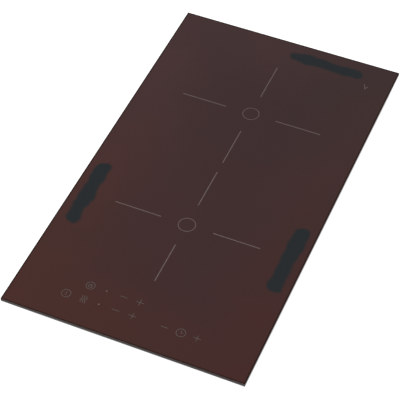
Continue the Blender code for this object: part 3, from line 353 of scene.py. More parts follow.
def turned(profile, centre, steps=32):
    """Each (radius, height) of the profile becomes a ring about the upright axis through the centre."""
    radius, height = np.array(profile, float).T
    a = turn(steps)
    u, v = np.outer(radius, np.cos(a)), np.outer(radius, np.sin(a))
    h = np.repeat(height[:, None], steps, 1)
    return np.stack((u, v, h), -1) + np.asarray(centre, float)


def wire(path, across, up, sides=8, lift=(0.0, 0.0, 1.0)):
    """Ellipses across by up carried along a path; lift is the direction the ellipse keeps upright."""
    path = np.asarray(path, float)
    ahead = np.gradient(path, axis=0)
    ahead /= np.linalg.norm(ahead, axis=1, keepdims=True)
    side = np.cross(ahead, np.broadcast_to(np.asarray(lift, float), path.shape))
    side /= np.linalg.norm(side, axis=1, keepdims=True)
    upright = np.cross(side, ahead)
    a = turn(sides)[None, :, None]
    return path[:, None] + across * np.cos(a) * side[:, None] + up * np.sin(a) * upright[:, None]


def coil(centre, radius, low, high, turns, gauge, steps=20, sides=6):
    """A compression spring: a helix whose first and last turn lie flat, as a real spring's do."""
    t = np.linspace(0.0, 1.0, int(turns * steps) + 1)
    rise = np.clip((t * turns - 0.75) / (turns - 1.5), 0.0, 1.0)
    angle = 2 * math.pi * turns * t
    path = np.column_stack([centre[0] + radius * np.cos(angle), centre[1] + radius * np.sin(angle),
                            low + gauge + (high - low - 2 * gauge) * rise])
    return wire(path, gauge, gauge, sides)


# %% [markdown]
# ## The glass plate
#
# The plate is 4 mm of tinted glass-ceramic whose edges are ground round, so that they don't chip. Its
# outline is a rectangle with tiny round corners. Its edge is a profile of inset and height, and every row of
# the grid is the same outline pulled in by the inset. A last flat ring keeps the edge's smooth shading from
# spreading over the plate. The upper face lies a few hundredths lower than the solid it replaces, which
# leaves room for the printed marks.

# %% Glass plate
INK = 0.00006
GLASS_LOW, GLASS_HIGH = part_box("glass_plate")
GLASS_TOP = GLASS_HIGH.z - INK
CORNER, EDGE_RADIUS = 0.0010, 0.0004


def ground_edge(low, high, radius, steps=6):
    """Profile of a ground edge: a quarter circle at the foot and another at the top."""
    a = turn(steps, 0.0, math.pi / 2, closed=False)
    foot = np.column_stack([radius * (1 - np.sin(a)), low + radius * (1 - np.cos(a))])
    head = np.column_stack([radius * (1 - np.cos(a)), high - radius * (1 - np.sin(a))])
    return [(3 * radius, low)] + foot.tolist() + head.tolist() + [(radius + 0.0015, high)]


half_w, half_d = (GLASS_HIGH.x - GLASS_LOW.x) / 2, (GLASS_HIGH.y - GLASS_LOW.y) / 2
glass = surface("ground_glass_plate",
                plate_rows(half_w, half_d, CORNER, ground_edge(GLASS_LOW.z, GLASS_TOP, EDGE_RADIUS)))
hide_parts("glass_plate")
print("glass plate:", [round(2 * half_w, 4), round(2 * half_d, 4)])

# %% [markdown]
# ## The colour of the glass
#
# Tinted glass-ceramic is a deep red-brown when light falls on it from above. Across the plate a painted
# reflection is mixed into that colour: it is a little redder near the cook, cooler towards the back and
# darkest in the middle. Three silicone pads hold the glass to the frame. They show through the glass as dull
# blue-grey patches with ragged edges, so their places are read from the pads' own solids. The distance to
# each pad's rounded rectangle is disturbed by noise before it becomes a mask, which gives the ragged
# outline. The ground edge is darker than the plate. The index of refraction is set below that of a real
# glass-ceramic, about 1.54, so that the edge mirrors less floor.

# %% Glass finish
glass_finish = Finish("tinted_glass", colour=(0.026, 0.012, 0.012), roughness=0.10, IOR=1.38)
PATCH_CORNER, PATCH_SOFT = 0.0076, 0.0021


def patch_mask(x, y, node, ragged):
    """1 inside a pad's round-cornered outline and 0 outside it; ragged is a noise in metres."""
    centre, low, high = middle(node)
    over_x = ((x - centre.x).size() - ((high.x - low.x) / 2 - PATCH_CORNER)).most(0.0)
    over_y = ((y - centre.y).size() - ((high.y - low.y) / 2 - PATCH_CORNER)).most(0.0)
    distance = (over_x ** 2 + over_y ** 2) ** 0.5
    return (distance + ragged).rise(PATCH_CORNER + PATCH_SOFT, PATCH_CORNER - PATCH_SOFT)


def colour_glass(finish):
    x, y, z = finish.axes()
    back, right = y.rise(-half_d, half_d), x.rise(-half_w, half_w)
    # Painted reflection: the four corner colours and the darkening towards the middle stand for light
    # mirrored in the glass, laid into its base colour.
    near = finish.blend(right, (0.0405, 0.0142, 0.0110), (0.0385, 0.0124, 0.0106))
    far = finish.blend(right, (0.0392, 0.0182, 0.0188), (0.0312, 0.0158, 0.0156))
    tint = finish.blend(back, near, far)
    rim_gap = (half_w - x.size()).least(half_d - y.size())
    tint = finish.blend(rim_gap.rise(0.015, 0.110) * 0.55, tint, (0.0272, 0.0132, 0.0142))
    cloud = finish.noise(11.0, 2.0, 0.45).rise(0.38, 0.66)
    tint = finish.blend(cloud * 0.22, tint, (0.0240, 0.0144, 0.0146))
    ragged = (finish.noise(42.0, 2.0, 0.5) - 0.5) * 0.0125 + (finish.noise(300.0, 2.0) - 0.5) * 0.0024
    mask = patch_mask(x, y, "left_bond_pad", ragged)
    for node in ("right_bond_pad", "rear_bond_pad"):
        mask = mask.most(patch_mask(x, y, node, ragged))
    tint = finish.blend(mask, tint, (0.0104, 0.0126, 0.0144))
    edge = rim_gap.rise(0.0024, 0.0012).most(z.rise(GLASS_TOP - 0.0002, GLASS_TOP - 0.0008))
    finish.paint(edge, tint, (0.0115, 0.0028, 0.0012))
    finish.feed("Roughness", finish.noise(38.0, 4.0, 0.6) * 0.05 + 0.085)


colour_glass(glass_finish)
wear(glass, glass_finish)

# %% [markdown]
# ## The printed marks
#
# Marks on such a plate are enamel, fired on as a film a few hundredths of a millimetre thick. They could be
# painted into the glass's colour, but a line one millimetre wide would then need a huge picture, so each
# mark is a film of its own. A stroke is a path on the glass with a width: the path's left and right edges
# come from its normals, and the section is a flat box. Rings are closed paths. Corners are mitred, so a
# hook or a chevron keeps its width.

# %% Strokes of enamel
def enamel_finish(name, low, high):
    """Matt fired enamel, faintly speckled between two colours."""
    finish = Finish(name, colour=high, roughness=0.45, IOR=1.5)
    finish.paint(finish.noise(900.0, 2.0), low, high)
    return finish


ZONE_INK = enamel_finish("zone_enamel", (0.070, 0.050, 0.048), (0.088, 0.063, 0.060))
SIGN_INK = enamel_finish("sign_enamel", (0.054, 0.045, 0.039), (0.068, 0.057, 0.049))


def stroke(path, width, closed=False):
    """Rows of a flat bar along a path: each row is its section's four corners, mitred at the bends."""
    path = np.asarray(path, float)
    ahead = np.roll(path, -1, axis=0) - path
    if not closed:
        ahead[-1] = ahead[-2]
    behind = np.roll(ahead, 1, axis=0)
    if not closed:
        behind[0] = ahead[0]
    ahead, behind = [d / np.linalg.norm(d, axis=1, keepdims=True) for d in (ahead, behind)]
    normal = np.column_stack([-(ahead + behind)[:, 1], (ahead + behind)[:, 0]])
    normal /= np.linalg.norm(normal, axis=1, keepdims=True)
    across = np.column_stack([-behind[:, 1], behind[:, 0]])
    reach = width / 2 / np.clip((normal * across).sum(1, keepdims=True), 0.3, 1.0)
    left, right = path + normal * reach, path - normal * reach
    low, high = np.full(len(path), GLASS_TOP - INK / 3), np.full(len(path), GLASS_HIGH.z)
    corners = [(left, low), (right, low), (right, high), (left, high)]
    return np.stack([np.column_stack([side, level]) for side, level in corners], axis=1)


def enamel(name, strokes, centre, width, ink, closed=False):
    """One piece of enamel from several strokes around a centre, given in millimetres."""
    bars = [stroke(np.asarray(path, float) * MM + np.asarray(centre), width, closed) for path in strokes]
    return wear(surface(name, bars, along=closed, smooth=None), ink)


def arc(radius, start=0.0, sweep=360.0, steps=48, centre=(0.0, 0.0)):
    """Points on a circle, in millimetres; a full sweep is meant for a closed stroke."""
    a = turn(steps, math.radians(start), math.radians(sweep), closed=abs(sweep) >= 360)
    return np.column_stack([centre[0] + radius * np.cos(a), centre[1] + radius * np.sin(a)])


# %% Cooking-zone marks
ZONE_LINE, RING_LINE, SIGN_LINE = 1.10 * MM, 0.78 * MM, 0.50 * MM
RING_RADIUS, CROSS_START, CROSS_END = 10.0, 32.5, 90.3
MARK_SHIFT = 0.4 * MM


def zone_mark(zone):
    """Ring in the zone's middle and four lines that end on its rim, as a sight for the pan."""
    centre = middle(f"{zone}_coil_former")[0]
    place = (centre.x + MARK_SHIFT, centre.y)
    enamel(f"{zone}_zone_ring", [arc(RING_RADIUS, steps=72)], place, RING_LINE, ZONE_INK, closed=True)
    for side, a in (("right", 0), ("back", 90), ("left", 180), ("front", 270)):
        direction = np.array([math.cos(math.radians(a)), math.sin(math.radians(a))])
        line = [direction * CROSS_START, direction * CROSS_END]
        enamel(f"{zone}_zone_line_{side}", [line], place, ZONE_LINE, ZONE_INK)
    return place


print("zones:", {zone: [round(v, 4) for v in zone_mark(zone)] for zone in ("rear", "front")})

# %% [markdown]
# ## The control signs
#
# The front edge carries two rows of touch keys. Their signs are the ones every hob shares: a circle with a
# bar to switch on, a padlock, a minus and a plus, a dot where a light shines through, rising steam, and a
# clock for the timer. They hold no lettering. Each sign is a short list of strokes around its own middle,
# measured in millimetres, and its circle is a closed stroke of its own.

# %% Control signs
FRONT_LEFT = (GLASS_LOW.x, GLASS_LOW.y)
ROWS = {"rear": 56.0, "front": 35.8}
LAMP_RADIUS, LAMP_X, CHEVRON_PLACE = 0.48, 102.9, (258.6, 478.8)
BOLD_LINE = 0.90 * MM
MINUS = [[(-4.4, 0.0), (4.4, 0.0)]]
PLUS = MINUS + [[(0.0, 0.26), (0.0, 4.3)], [(0.0, -0.26), (0.0, -4.3)]]
POWER_BAR = [[(0.0, -2.6), (0.0, 2.6)]]
CLOCK_HANDS = [[(0.0, 3.4), (0.0, 0.0), (2.5, 0.0)]]
PADLOCK = [[(-2.1, 0.4), (2.1, 0.4)], [(2.1, 0.1), (2.1, -2.3), (-2.1, -2.3), (-2.1, 0.1)],
           arc(1.35, 0.0, 180.0, 12, (0.0, 0.75))]
WAVE = np.linspace(-5.0, 5.0, 25)
STEAM = [np.column_stack([x + 0.6 * np.sin(WAVE * 2 * math.pi / 6.5), WAVE]) for x in (-2.6, 0.0, 2.6)]
CHEVRON = [[(-2.6, 4.2), (0.4, -3.6), (2.6, 1.2)]]
SIGNS = [("padlock_sign", PADLOCK, 83.2, "rear", 5.1), ("rear_minus_sign", MINUS, 123.9, "rear", None),
         ("rear_plus_sign", PLUS, 143.4, "rear", None), ("power_sign", POWER_BAR, 63.1, "front", 5.2),
         ("steam_sign", STEAM, 84.4, "front", None), ("front_minus_sign", MINUS, 123.4, "front", None),
         ("front_plus_sign", PLUS, 143.4, "front", None), ("timer_minus_sign", MINUS, 181.5, "front", None),
         ("clock_sign", CLOCK_HANDS, 201.0, "front", 5.3), ("timer_plus_sign", PLUS, 220.0, "front", None)]


def at(x_from_left, y_from_front):
    return (FRONT_LEFT[0] + x_from_left * MM, FRONT_LEFT[1] + y_from_front * MM)


for sign_name, strokes, from_left, row, circle in SIGNS:
    enamel(sign_name, strokes, at(from_left, ROWS[row]), SIGN_LINE, SIGN_INK)
    if circle:
        enamel(sign_name + "_circle", [arc(circle)], at(from_left, ROWS[row]), SIGN_LINE, SIGN_INK,
               closed=True)
for row, height in ROWS.items():
    enamel(f"{row}_lamp_dot", [arc(LAMP_RADIUS, steps=20)], at(LAMP_X, height), BOLD_LINE, ZONE_INK,
           closed=True)
enamel("corner_chevron", CHEVRON, at(*CHEVRON_PLACE), BOLD_LINE, ZONE_INK)
print("control signs:", len(SIGNS) + 3)

# %% [markdown]
# ## Steel, aluminium and spring steel
#
# The box is hot-dip galvanised sheet. Its zinc freezes in flat crystals, the spangle, each of which
# reflects a little differently. Voronoi cells give every crystal its own grey and gloss. Aluminium parts
# are rolled, so their fine lines run one way. The spring clips are blued and the screws are plated.

# %% Metal finishes
SPANGLE = (170.0, 390.0)


def galvanised(finish):
    large, small = [finish.node("ShaderNodeSeparateColor", inputs={0: finish.cells(size)})
                    for size in SPANGLE]
    fine = finish.noise(60.0, 4.0, 0.6)
    grey = large * 0.35 + small * 0.30 + fine * 0.35
    finish.paint(grey, (0.40, 0.41, 0.42), (0.66, 0.67, 0.68))
    finish.feed("Roughness", grey * 0.22 + 0.26)
    finish.bump(grey, 0.00003, 0.5)


def rolled(finish, dark, bright, lines=(900.0, 18.0, 900.0), rough=0.28):
    grain = finish.noise(1.0, 3.0, 0.6, at=finish.stretched(*lines))
    stain = finish.noise(35.0, 3.0)
    finish.paint(grain * 0.7 + stain * 0.3, dark, bright)
    finish.feed("Roughness", grain * 0.18 + stain * 0.08 + rough)
    finish.bump(grain, 0.00003, 0.5)


GALVANISED = Finish("galvanised_sheet", (0.52, 0.53, 0.54), 0.38, 1.0)
galvanised(GALVANISED)
ALUMINIUM = Finish("rolled_aluminium", (0.70, 0.71, 0.72), 0.35, 1.0)
rolled(ALUMINIUM, (0.58, 0.59, 0.60), (0.80, 0.81, 0.82))
BLUED = Finish("blued_spring_steel", (0.20, 0.20, 0.22), 0.35, 1.0)
rolled(BLUED, (0.11, 0.115, 0.13), (0.26, 0.26, 0.28), (70.0, 1400.0, 70.0), 0.24)
ZINC = Finish("zinc_plate", (0.60, 0.61, 0.62), 0.30, 1.0)
rolled(ZINC, (0.46, 0.47, 0.50), (0.70, 0.71, 0.72), (300.0, 300.0, 300.0), 0.22)

# %% [markdown]
# ## Foam, rubber and silicone
#
# The seal under the glass is closed-cell foam tape: matt, near black, with pores well under a millimetre
# across. Its section is round-shouldered, and the worktop presses its underside flat. The silicone pads
# are squeezed out between glass and flange, so their outline waves and their edge bulges.

# %% Soft pieces
def porous(finish, dark, light, pores, depth):
    # The pores are painted darker than the surface between them: a painted shade in their hollows, in step
    # with the bump.
    hole = finish.cells(pores, "Distance").rise(0.10, 0.55)
    finish.paint(hole * 0.8 + finish.noise(90.0) * 0.2, dark, light)
    finish.feed("Roughness", hole * -0.12 + 0.97)
    finish.bump(hole + finish.noise(pores * 3.0) * 0.3, depth, 0.8)


FOAM = Finish("foam_tape", (0.030, 0.030, 0.032), 0.92)
porous(FOAM, (0.012, 0.012, 0.013), (0.045, 0.045, 0.048), 1500.0, 0.00015)
RUBBER = Finish("moulded_rubber", (0.02, 0.02, 0.021), 0.72)
porous(RUBBER, (0.014, 0.014, 0.015), (0.026, 0.026, 0.028), 2600.0, 0.00003)
SILICONE = Finish("cured_silicone", (0.027, 0.034, 0.038), 0.5)
SILICONE.paint(SILICONE.noise(160.0, 4.0), (0.020, 0.027, 0.031), (0.036, 0.044, 0.049))
SILICONE.bump(SILICONE.noise(420.0, 3.0), 0.00012, 0.5)


def foam_ring(node, inset=0.0030, points=20):
    """Closed section, a superellipse flattened below, carried round the rim: rows are section points."""
    centre, low, high = middle(node)
    a = turn(points)
    across = np.sign(np.cos(a)) * np.abs(np.cos(a)) ** 0.55
    height = np.sign(np.sin(a)) * np.abs(np.sin(a)) ** np.where(np.sin(a) < 0, 0.25, 0.6)
    profile = np.column_stack([inset * (1 - across), centre.z + (high.z - low.z) / 2 * height])
    half_x, half_y = (high.x - low.x) / 2, (high.y - low.y) / 2
    return plate_rows(half_x, half_y, 0.0075, profile.tolist(), 10)


seal = stand_in("worktop_seal", "foam_seal_ring", foam_ring("worktop_seal"), FOAM, "foam_seal", along=True,
                smooth=60.0)


def squeezed_pad(node, around=160):
    """Pad outline pulled in and out by a sum of sines, with an edge that bulges at half its height."""
    centre, low, high = middle(node)
    half_x, half_y = (high.x - low.x) / 2, (high.y - low.y) / 2
    a = turn(around)
    wobble = 0.5 + 0.5 * np.sin(5 * a + centre.x * 90) * np.sin(11 * a + centre.y * 70)
    reach = 1.0 - 0.9 * MM * wobble / min(half_x, half_y)
    direction = np.stack([np.cos(a), np.sin(a)])
    shape = 1.0 / ((np.abs(direction) ** 8).sum(0) ** (1 / 8))
    profile = [(0.0009, low.z), (0.0002, low.z + 0.0002), (0.0, centre.z), (0.0003, high.z - 0.0001),
               (0.0010, high.z)]
    rows = []
    for inset, height in profile:
        rows.append(np.column_stack([centre.x + (half_x - inset) * shape * reach * direction[0],
                                     centre.y + (half_y - inset) * shape * reach * direction[1],
                                     np.full(around, height)]))
    return stand_in(node, f"squeezed_{node}", np.array(rows), SILICONE, "silicone", smooth=60.0)


pads = [squeezed_pad(node) for node in ("left_bond_pad", "right_bond_pad", "rear_bond_pad")]
print("soft pieces:", [seal.name] + [pad.name for pad in pads])

# %% [markdown]
# ## Clips and screws
#
# Each spring clip is a stamped leaf: a flat tab under its screw, a belly that presses on the cut-out's
# edge, two windows that make it softer, and a narrower foot that guides it in. It is a bent sheet with no
# thickness until the Solidify modifier gives it one. The screws are pan heads with a cross recess. Their
# head is a dome, and the recess is cut by lowering the dome where the point lies near either axis.

# %% Spring clips
CLIP_SHEET, HOLE_MIDDLE, HOLE_HALF = 0.0008, 36.0, 1.8
# stations of the leaf: outward place from the tab's plane, height, half of the width, in millimetres
LEAF = np.array([(0.0, 40.0, 9.5), (0.0, 39.0, 11.6), (0.0, 37.4, 11.6), (0.0, 34.6, 11.6), (0.0, 32.0, 11.6),
                 (0.35, 28.0, 11.6), (1.35, 22.0, 11.6), (2.85, 16.5, 11.6), (3.75, 12.4, 11.6),
                 (3.45, 9.6, 10.6), (2.45, 7.2, 9.0), (2.05, 5.6, 7.6)])


def clip_leaf(node, body, rows=45, columns=17):
    """Leaf surface: stations are read along the spring, and the columns spread over its width."""
    centre, low, high = middle(node)
    side = 1.0 if centre.x > 0 else -1.0
    tab_x = (low.x if side > 0 else -high.x) + CLIP_SHEET / 2
    along = np.linspace(0.0, len(LEAF) - 1.0, rows)
    out, height, half = [np.interp(along, np.arange(len(LEAF)), LEAF[:, k]) for k in range(3)]
    spread = np.linspace(-1.0, 1.0, columns)
    limit = (high.x if side > 0 else -low.x) - CLIP_SHEET / 2 - 0.00002
    x = np.minimum(tab_x + out * MM, limit)
    points = np.stack([np.repeat(side * x[:, None], columns, 1), centre.y + np.outer(half * MM, spread),
                       np.repeat(np.clip(height * MM, low.z, high.z)[:, None], columns, 1)], -1)
    row_mid = (height[:-1] + height[1:]) / 2
    column_mid = np.abs((spread[:-1] + spread[1:]) / 2)
    hole = np.outer(np.abs(row_mid - HOLE_MIDDLE) < HOLE_HALF, column_mid < 0.16)
    window = np.outer((row_mid > 16.0) & (row_mid < 27.5), (column_mid > 0.22) & (column_mid < 0.52))
    leaf = surface(f"{node}_leaf", points, body, around=False, hide=hole | window, smooth=50.0)
    thick = leaf.modifiers.new("sheet", "SOLIDIFY")
    thick.thickness, thick.offset = CLIP_SHEET, 0.0
    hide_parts(node)
    return wear(leaf, BLUED)


CORNERS = [f"{end}_{side}" for end in ("front", "rear") for side in ("left", "right")]
for place in CORNERS:
    clip_leaf(f"{place}_clip", f"{place}_clip")


# %% Pan-head screws
HEAD_THICK, HEAD_RIM, DOME_DROP = 0.0014, 0.0003, 0.0008
RECESS_HALF_W, RECESS_REACH, RECESS_DEPTH = 0.00042, 0.0019, 0.0007
SHANK_R, TIP_R, TIP_TAPER = 0.0014, 0.0009, 0.001
FLANK, END_SLOPE = 0.00016, 0.0003


def pan_head(node, columns=48):
    """Dome, rim and shank as rings; the recess lowers the dome where either coordinate is small."""
    centre, low, high = middle(node)
    axis = 0 if "clip" in node else 1
    sign = 1.0 if centre[axis] > 0 else -1.0
    head_r = (high.z - low.z) / 2
    top = max(abs(low[axis]), abs(high[axis]))
    tip = min(abs(low[axis]), abs(high[axis]))
    seat = top - HEAD_THICK
    radius = np.concatenate([np.linspace(0.00003, 0.0020, 12), np.linspace(0.0023, head_r, 7)])
    dome = top - DOME_DROP * (radius / head_r) ** 2.4
    dome[-1] = seat + HEAD_RIM
    a = turn(columns)
    u, v = np.outer(radius, np.cos(a)), np.outer(radius, np.sin(a))
    near = np.minimum(np.abs(u), np.abs(v))
    cut = np.clip((RECESS_HALF_W - near) / FLANK, 0, 1)
    cut = cut * np.clip((RECESS_REACH - np.hypot(u, v)) / END_SLOPE, 0, 1)
    h = dome[:, None] - RECESS_DEPTH * cut
    shank = [(head_r, seat), (SHANK_R, seat), (SHANK_R, tip + TIP_TAPER), (TIP_R, tip)]
    u = np.vstack([u] + [r * np.cos(a) for r, _ in shank])
    v = np.vstack([v] + [r * np.sin(a) for r, _ in shank])
    h = np.vstack([h] + [np.full(columns, height) for _, height in shank])
    parts = (sign * h, centre.y + u, centre.z + v) if axis == 0 else (centre.x + u, sign * h, centre.z + v)
    return stand_in(node, f"{node}_head", np.stack(parts, -1), ZINC, "zinc_screw", smooth=30.0)


screws = [pan_head(f"{place}_{kind}_screw") for place in CORNERS for kind in ("clip", "tray")]
print("screws:", len(screws))

# %% [markdown]
# ## Coils and what holds them
#
# A coil is litz, many fine enamelled wires twisted into one strand and wound as a flat spiral. Its radius
# grows by the same step each turn. A UV map that runs along the wire carries the twisting: slanted ridges
# come from a sine of the run and the place around the section. The same sine paints a shade into the
# grooves between the strands and a highlight on their crowns.

# %% Windings
LITZ = Finish("copper_litz", (0.45, 0.19, 0.09), 0.42, 0.55)
run_map = LITZ.node("ShaderNodeUVMap", {"uv_map": "run"})
run = LITZ.node("ShaderNodeSeparateXYZ", inputs={0: run_map}).socket.node
twist_and_groove_shade = (Wire(LITZ, run.outputs[0]) * 2400.0 + Wire(LITZ, run.outputs[1]) * 12.0).wave() * 0.5 + 0.5
# Painted shade and highlight: the grooves between the strands are painted dark and the crowns bright, in step
# with the bump.
LITZ.paint(twist_and_groove_shade, (0.17, 0.062, 0.030), (0.52, 0.23, 0.11))
LITZ.feed("Roughness", 0.50 - twist_and_groove_shade * 0.14)
LITZ.bump(twist_and_groove_shade, 0.00025, 0.7)
LITZ_HALF_W, EYE_R, CHOKE_HOLE_R, CHOKE_WIRE_R = 0.00125, 0.0200, 0.0060, 0.0007
CHOKE_SWEEP = 0.94


def run_along(path, sides):
    """Map of a wire and its length: how far along it each point lies, and its angle about the wire."""
    length = np.concatenate([[0.0], np.cumsum(np.linalg.norm(np.diff(path, axis=0), axis=1))])
    angle = np.tile(turn(sides), (len(path), 1))
    return np.stack([np.repeat(length[:, None], sides, 1), angle], -1), float(length[-1])


def litz_spiral(node, turns=23, steps=44, sides=8):
    """Flat spiral: the angle grows evenly and the radius goes from the eye to the rim."""
    centre, low, high = middle(node)
    across = LITZ_HALF_W
    outer, inner = (high.x - low.x) / 2 - across - 0.0002, EYE_R + across
    t = np.linspace(0.0, 1.0, turns * steps + 1)
    angle, radius = 2 * math.pi * turns * t, inner + (outer - inner) * t
    path = np.column_stack([centre.x + radius * np.cos(angle), centre.y + radius * np.sin(angle),
                            np.full(len(t), centre.z)])
    uv, length = run_along(path, sides)
    print(node, "strand length in metres:", round(length, 2))
    return stand_in(node, f"{node}_strand", wire(path, across, (high.z - low.z) / 2, sides), LITZ,
                    "copper_litz", smooth=80.0, uv=uv)


def wound_choke(node, turns=26, steps=14, sides=6):
    """Ring core and a wire whose small circle, in the core's section, turns as it goes round the ring."""
    centre, low, high = middle(node)
    outer, inner, half = (high.x - low.x) / 2, CHOKE_HOLE_R, (high.z - low.z) / 2
    gauge = CHOKE_WIRE_R
    ring_r, section_r = (outer + inner) / 2, (outer - inner) / 2
    t = turn(turns * steps)
    a, b = t * CHOKE_SWEEP, t * turns
    radius = ring_r + (section_r - gauge) * np.cos(b)
    path = np.column_stack([centre.x + radius * np.cos(a), centre.y + radius * np.sin(a),
                            centre.z + (half - gauge) * np.sin(b)])
    lift = np.column_stack([-np.sin(a), np.cos(a), np.zeros(len(a))])
    uv = run_along(path, sides)[0]
    stand_in(node, f"{node}_wire", wire(path, gauge, gauge, sides, lift), LITZ, "copper_litz", smooth=80.0,
             uv=uv)
    s = turn(20)
    profile = np.column_stack([ring_r + (section_r - 2 * gauge) * np.cos(s),
                               centre.z + (half - 2 * gauge) * np.sin(s)])
    return surface(f"{node}_core", turned(profile, (centre.x, centre.y, 0.0)), along=True)


def round_former(node, steps=96):
    """Moulded disc with a rim and a collar in its eye."""
    centre, low, high = middle(node)
    rim, floor, lip = (high.x - low.x) / 2, low.z + 0.0020, low.z + 0.0050
    profile = [(0.0036, low.z), (0.0036, floor), (0.0080, floor), (0.0080, high.z - 0.0003), (0.0083, high.z),
               (0.0102, high.z), (0.0105, high.z - 0.0003), (0.0105, floor), (rim - 0.0015, floor),
               (rim - 0.0015, lip - 0.0003), (rim - 0.0012, lip), (rim - 0.0003, lip), (rim, lip - 0.0003),
               (rim, low.z + 0.0003), (rim - 0.0003, low.z)]
    disc = turned(profile, (centre.x, centre.y, 0.0), steps=steps)
    return stand_in(node, f"{node}_disc", disc, FORMER, "former_plastic", along=True)


MICA_HOLE_R = 0.0120


def round_mica(node, steps=96):
    """Thin ring punched from mica paper."""
    centre, low, high = middle(node)
    rim = (high.x - low.x) / 2
    profile = [(MICA_HOLE_R, low.z), (MICA_HOLE_R, high.z), (rim, high.z), (rim, low.z)]
    ring = turned(profile, (centre.x, centre.y, 0.0), steps=steps)
    return stand_in(node, f"{node}_ring", ring, MICA, "mica", along=True)


for zone in ("rear", "front"):
    litz_spiral(f"{zone}_coil_winding")
choke_core = wound_choke("filter_choke")

# %% [markdown]
# ## Springs
#
# Under every touch key a small spring carries the key's charge from the board to the glass. Under each pan
# sensor a stronger one presses the sensor up, and it shortens when a hand pushes the sensor down.

# %% Sensor springs
for zone in ("rear", "front"):
    centre, low, high = middle(f"{zone}_sensor_spring")
    helix = coil((centre.x, centre.y), 0.0052, low.z + 0.00002, high.z - 0.00002, 5.5, 0.0004)
    spring = stand_in(f"{zone}_sensor_spring", f"{zone}_sensor_coil_spring", helix, ZINC, "spring_steel",
                      smooth=80.0)
    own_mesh(spring)

# %% [markdown]
# ## Circuit boards
#
# Both boards are glass-epoxy under a green solder mask. Copper tracks lie under the mask and lift it
# slightly, so a brick pattern stretched over the board gives straight tracks in colour and relief.
# What stands on the power board is boxes, cans and pins. The small ones are new: chips with legs, resistors,
# a plug strip, and upright capacitors, all placed in free strips of the board.

# %% Board and component finishes
def board_mask(finish):
    tracks = finish.node("ShaderNodeTexBrick", {"offset": 0.35, "squash": 0.6, "squash_frequency": 3},
                         {"Vector": finish.stretched(1.0, 1.0, 0.0), "Scale": 130.0, "Mortar Size": 0.055,
                          "Color1": (1, 1, 1, 1), "Color2": (0.35, 0.35, 0.35, 1), "Mortar": (0, 0, 0, 1)},
                         out=1)
    pads = finish.cells(420.0, "Distance", at=finish.stretched(1.0, 1.0, 0.0)).rise(0.22, 0.16)
    tint = finish.blend(tracks, (0.018, 0.120, 0.045), (0.030, 0.185, 0.070))
    finish.paint(pads * 0.5, tint, (0.50, 0.47, 0.36))
    finish.feed("Roughness", finish.noise(200.0) * 0.15 + 0.30)
    finish.bump(tracks + pads, 0.00004, 0.6)


def moulded(name, colour, roughness=0.5, grain=900.0, depth=0.00003, vary=0.18):
    """A moulded or printed surface: fine grain in relief, slow cloudiness in colour and gloss."""
    finish = Finish(name, colour, roughness)
    slow, fine = finish.noise(28.0, 3.0), finish.noise(grain, 2.0, 0.6)
    dark = tuple(c * (1 - vary) for c in colour)
    bright = tuple(min(1.0, c * (1 + vary)) for c in colour)
    finish.paint(slow * 0.6 + fine * 0.4, dark, bright)
    finish.feed("Roughness", fine * 0.16 + (roughness - 0.08))
    finish.bump(fine, depth, 0.6)
    return finish


def mica_flakes(finish):
    flakes = finish.cells(520.0)
    shade = finish.node("ShaderNodeSeparateColor", inputs={0: flakes})
    cloud = finish.noise(45.0, 4.0, 0.6)
    finish.paint(shade * 0.4 + cloud * 0.6, (0.46, 0.40, 0.28), (0.74, 0.68, 0.54))
    finish.feed("Roughness", shade * 0.25 + 0.28)
    finish.bump(shade, 0.00005, 0.5)


def brushed_label(finish, node):
    """Blank aluminium label: brushed along its length, with a thin dark border inside its rim."""
    centre, low, high = middle(node)
    x, y, z = finish.axes()
    gap = ((high.x - low.x) / 2 - (x - centre.x).size()).least((high.z - low.z) / 2 - (z - centre.z).size())
    border = gap.rise(0.0008, 0.0010) * gap.rise(0.0015, 0.0013)
    brushed = finish.noise(1.0, 3.0, 0.6, at=finish.stretched(30.0, 30.0, 2600.0))
    tint = finish.blend(brushed, (0.52, 0.53, 0.54), (0.74, 0.75, 0.76))
    finish.paint(border, tint, (0.02, 0.02, 0.022))
    finish.feed("Roughness", brushed * 0.2 + 0.26)


SOLDER_MASK = Finish("solder_mask", (0.02, 0.15, 0.06), 0.4)
board_mask(SOLDER_MASK)
MICA = Finish("mica_paper", (0.62, 0.58, 0.46), 0.4)
mica_flakes(MICA)
LABEL = Finish("label_aluminium", (0.66, 0.67, 0.68), 0.35, 0.9)
brushed_label(LABEL, "rating_plate")
FERRITE = moulded("sintered_ferrite", (0.045, 0.043, 0.046), 0.62, 1400.0, 0.00006, 0.35)
FORMER = moulded("heat_proof_nylon", (0.030, 0.030, 0.032), 0.55)
HOUSING = moulded("housing_nylon", (0.036, 0.036, 0.039), 0.52, 700.0, 0.00005)
BLACK = moulded("moulded_epoxy", (0.022, 0.022, 0.024), 0.42)
BLUE = moulded("blue_capacitor_case", (0.035, 0.090, 0.270), 0.34, 500.0, 0.00002)
YELLOW = moulded("yellow_tape_wrap", (0.68, 0.47, 0.05), 0.38, 300.0, 0.00003)
IVORY = moulded("ivory_terminal_nylon", (0.66, 0.64, 0.58), 0.5)
CERAMIC = moulded("sensor_ceramic_body", (0.78, 0.77, 0.72), 0.55, 1100.0, 0.00003, 0.08)
DIFFUSER = moulded("frosted_acrylic", (0.80, 0.80, 0.78), 0.35, 1200.0, 0.00002, 0.05)
INSULATOR = moulded("fish_paper", (0.055, 0.055, 0.062), 0.55, 600.0, 0.00004, 0.3)
SLEEVE = moulded("silicone_sleeve", (0.50, 0.045, 0.030), 0.48, 800.0, 0.00004)
RIBBON = Finish("ribbon_cable", (0.42, 0.42, 0.43), 0.5)
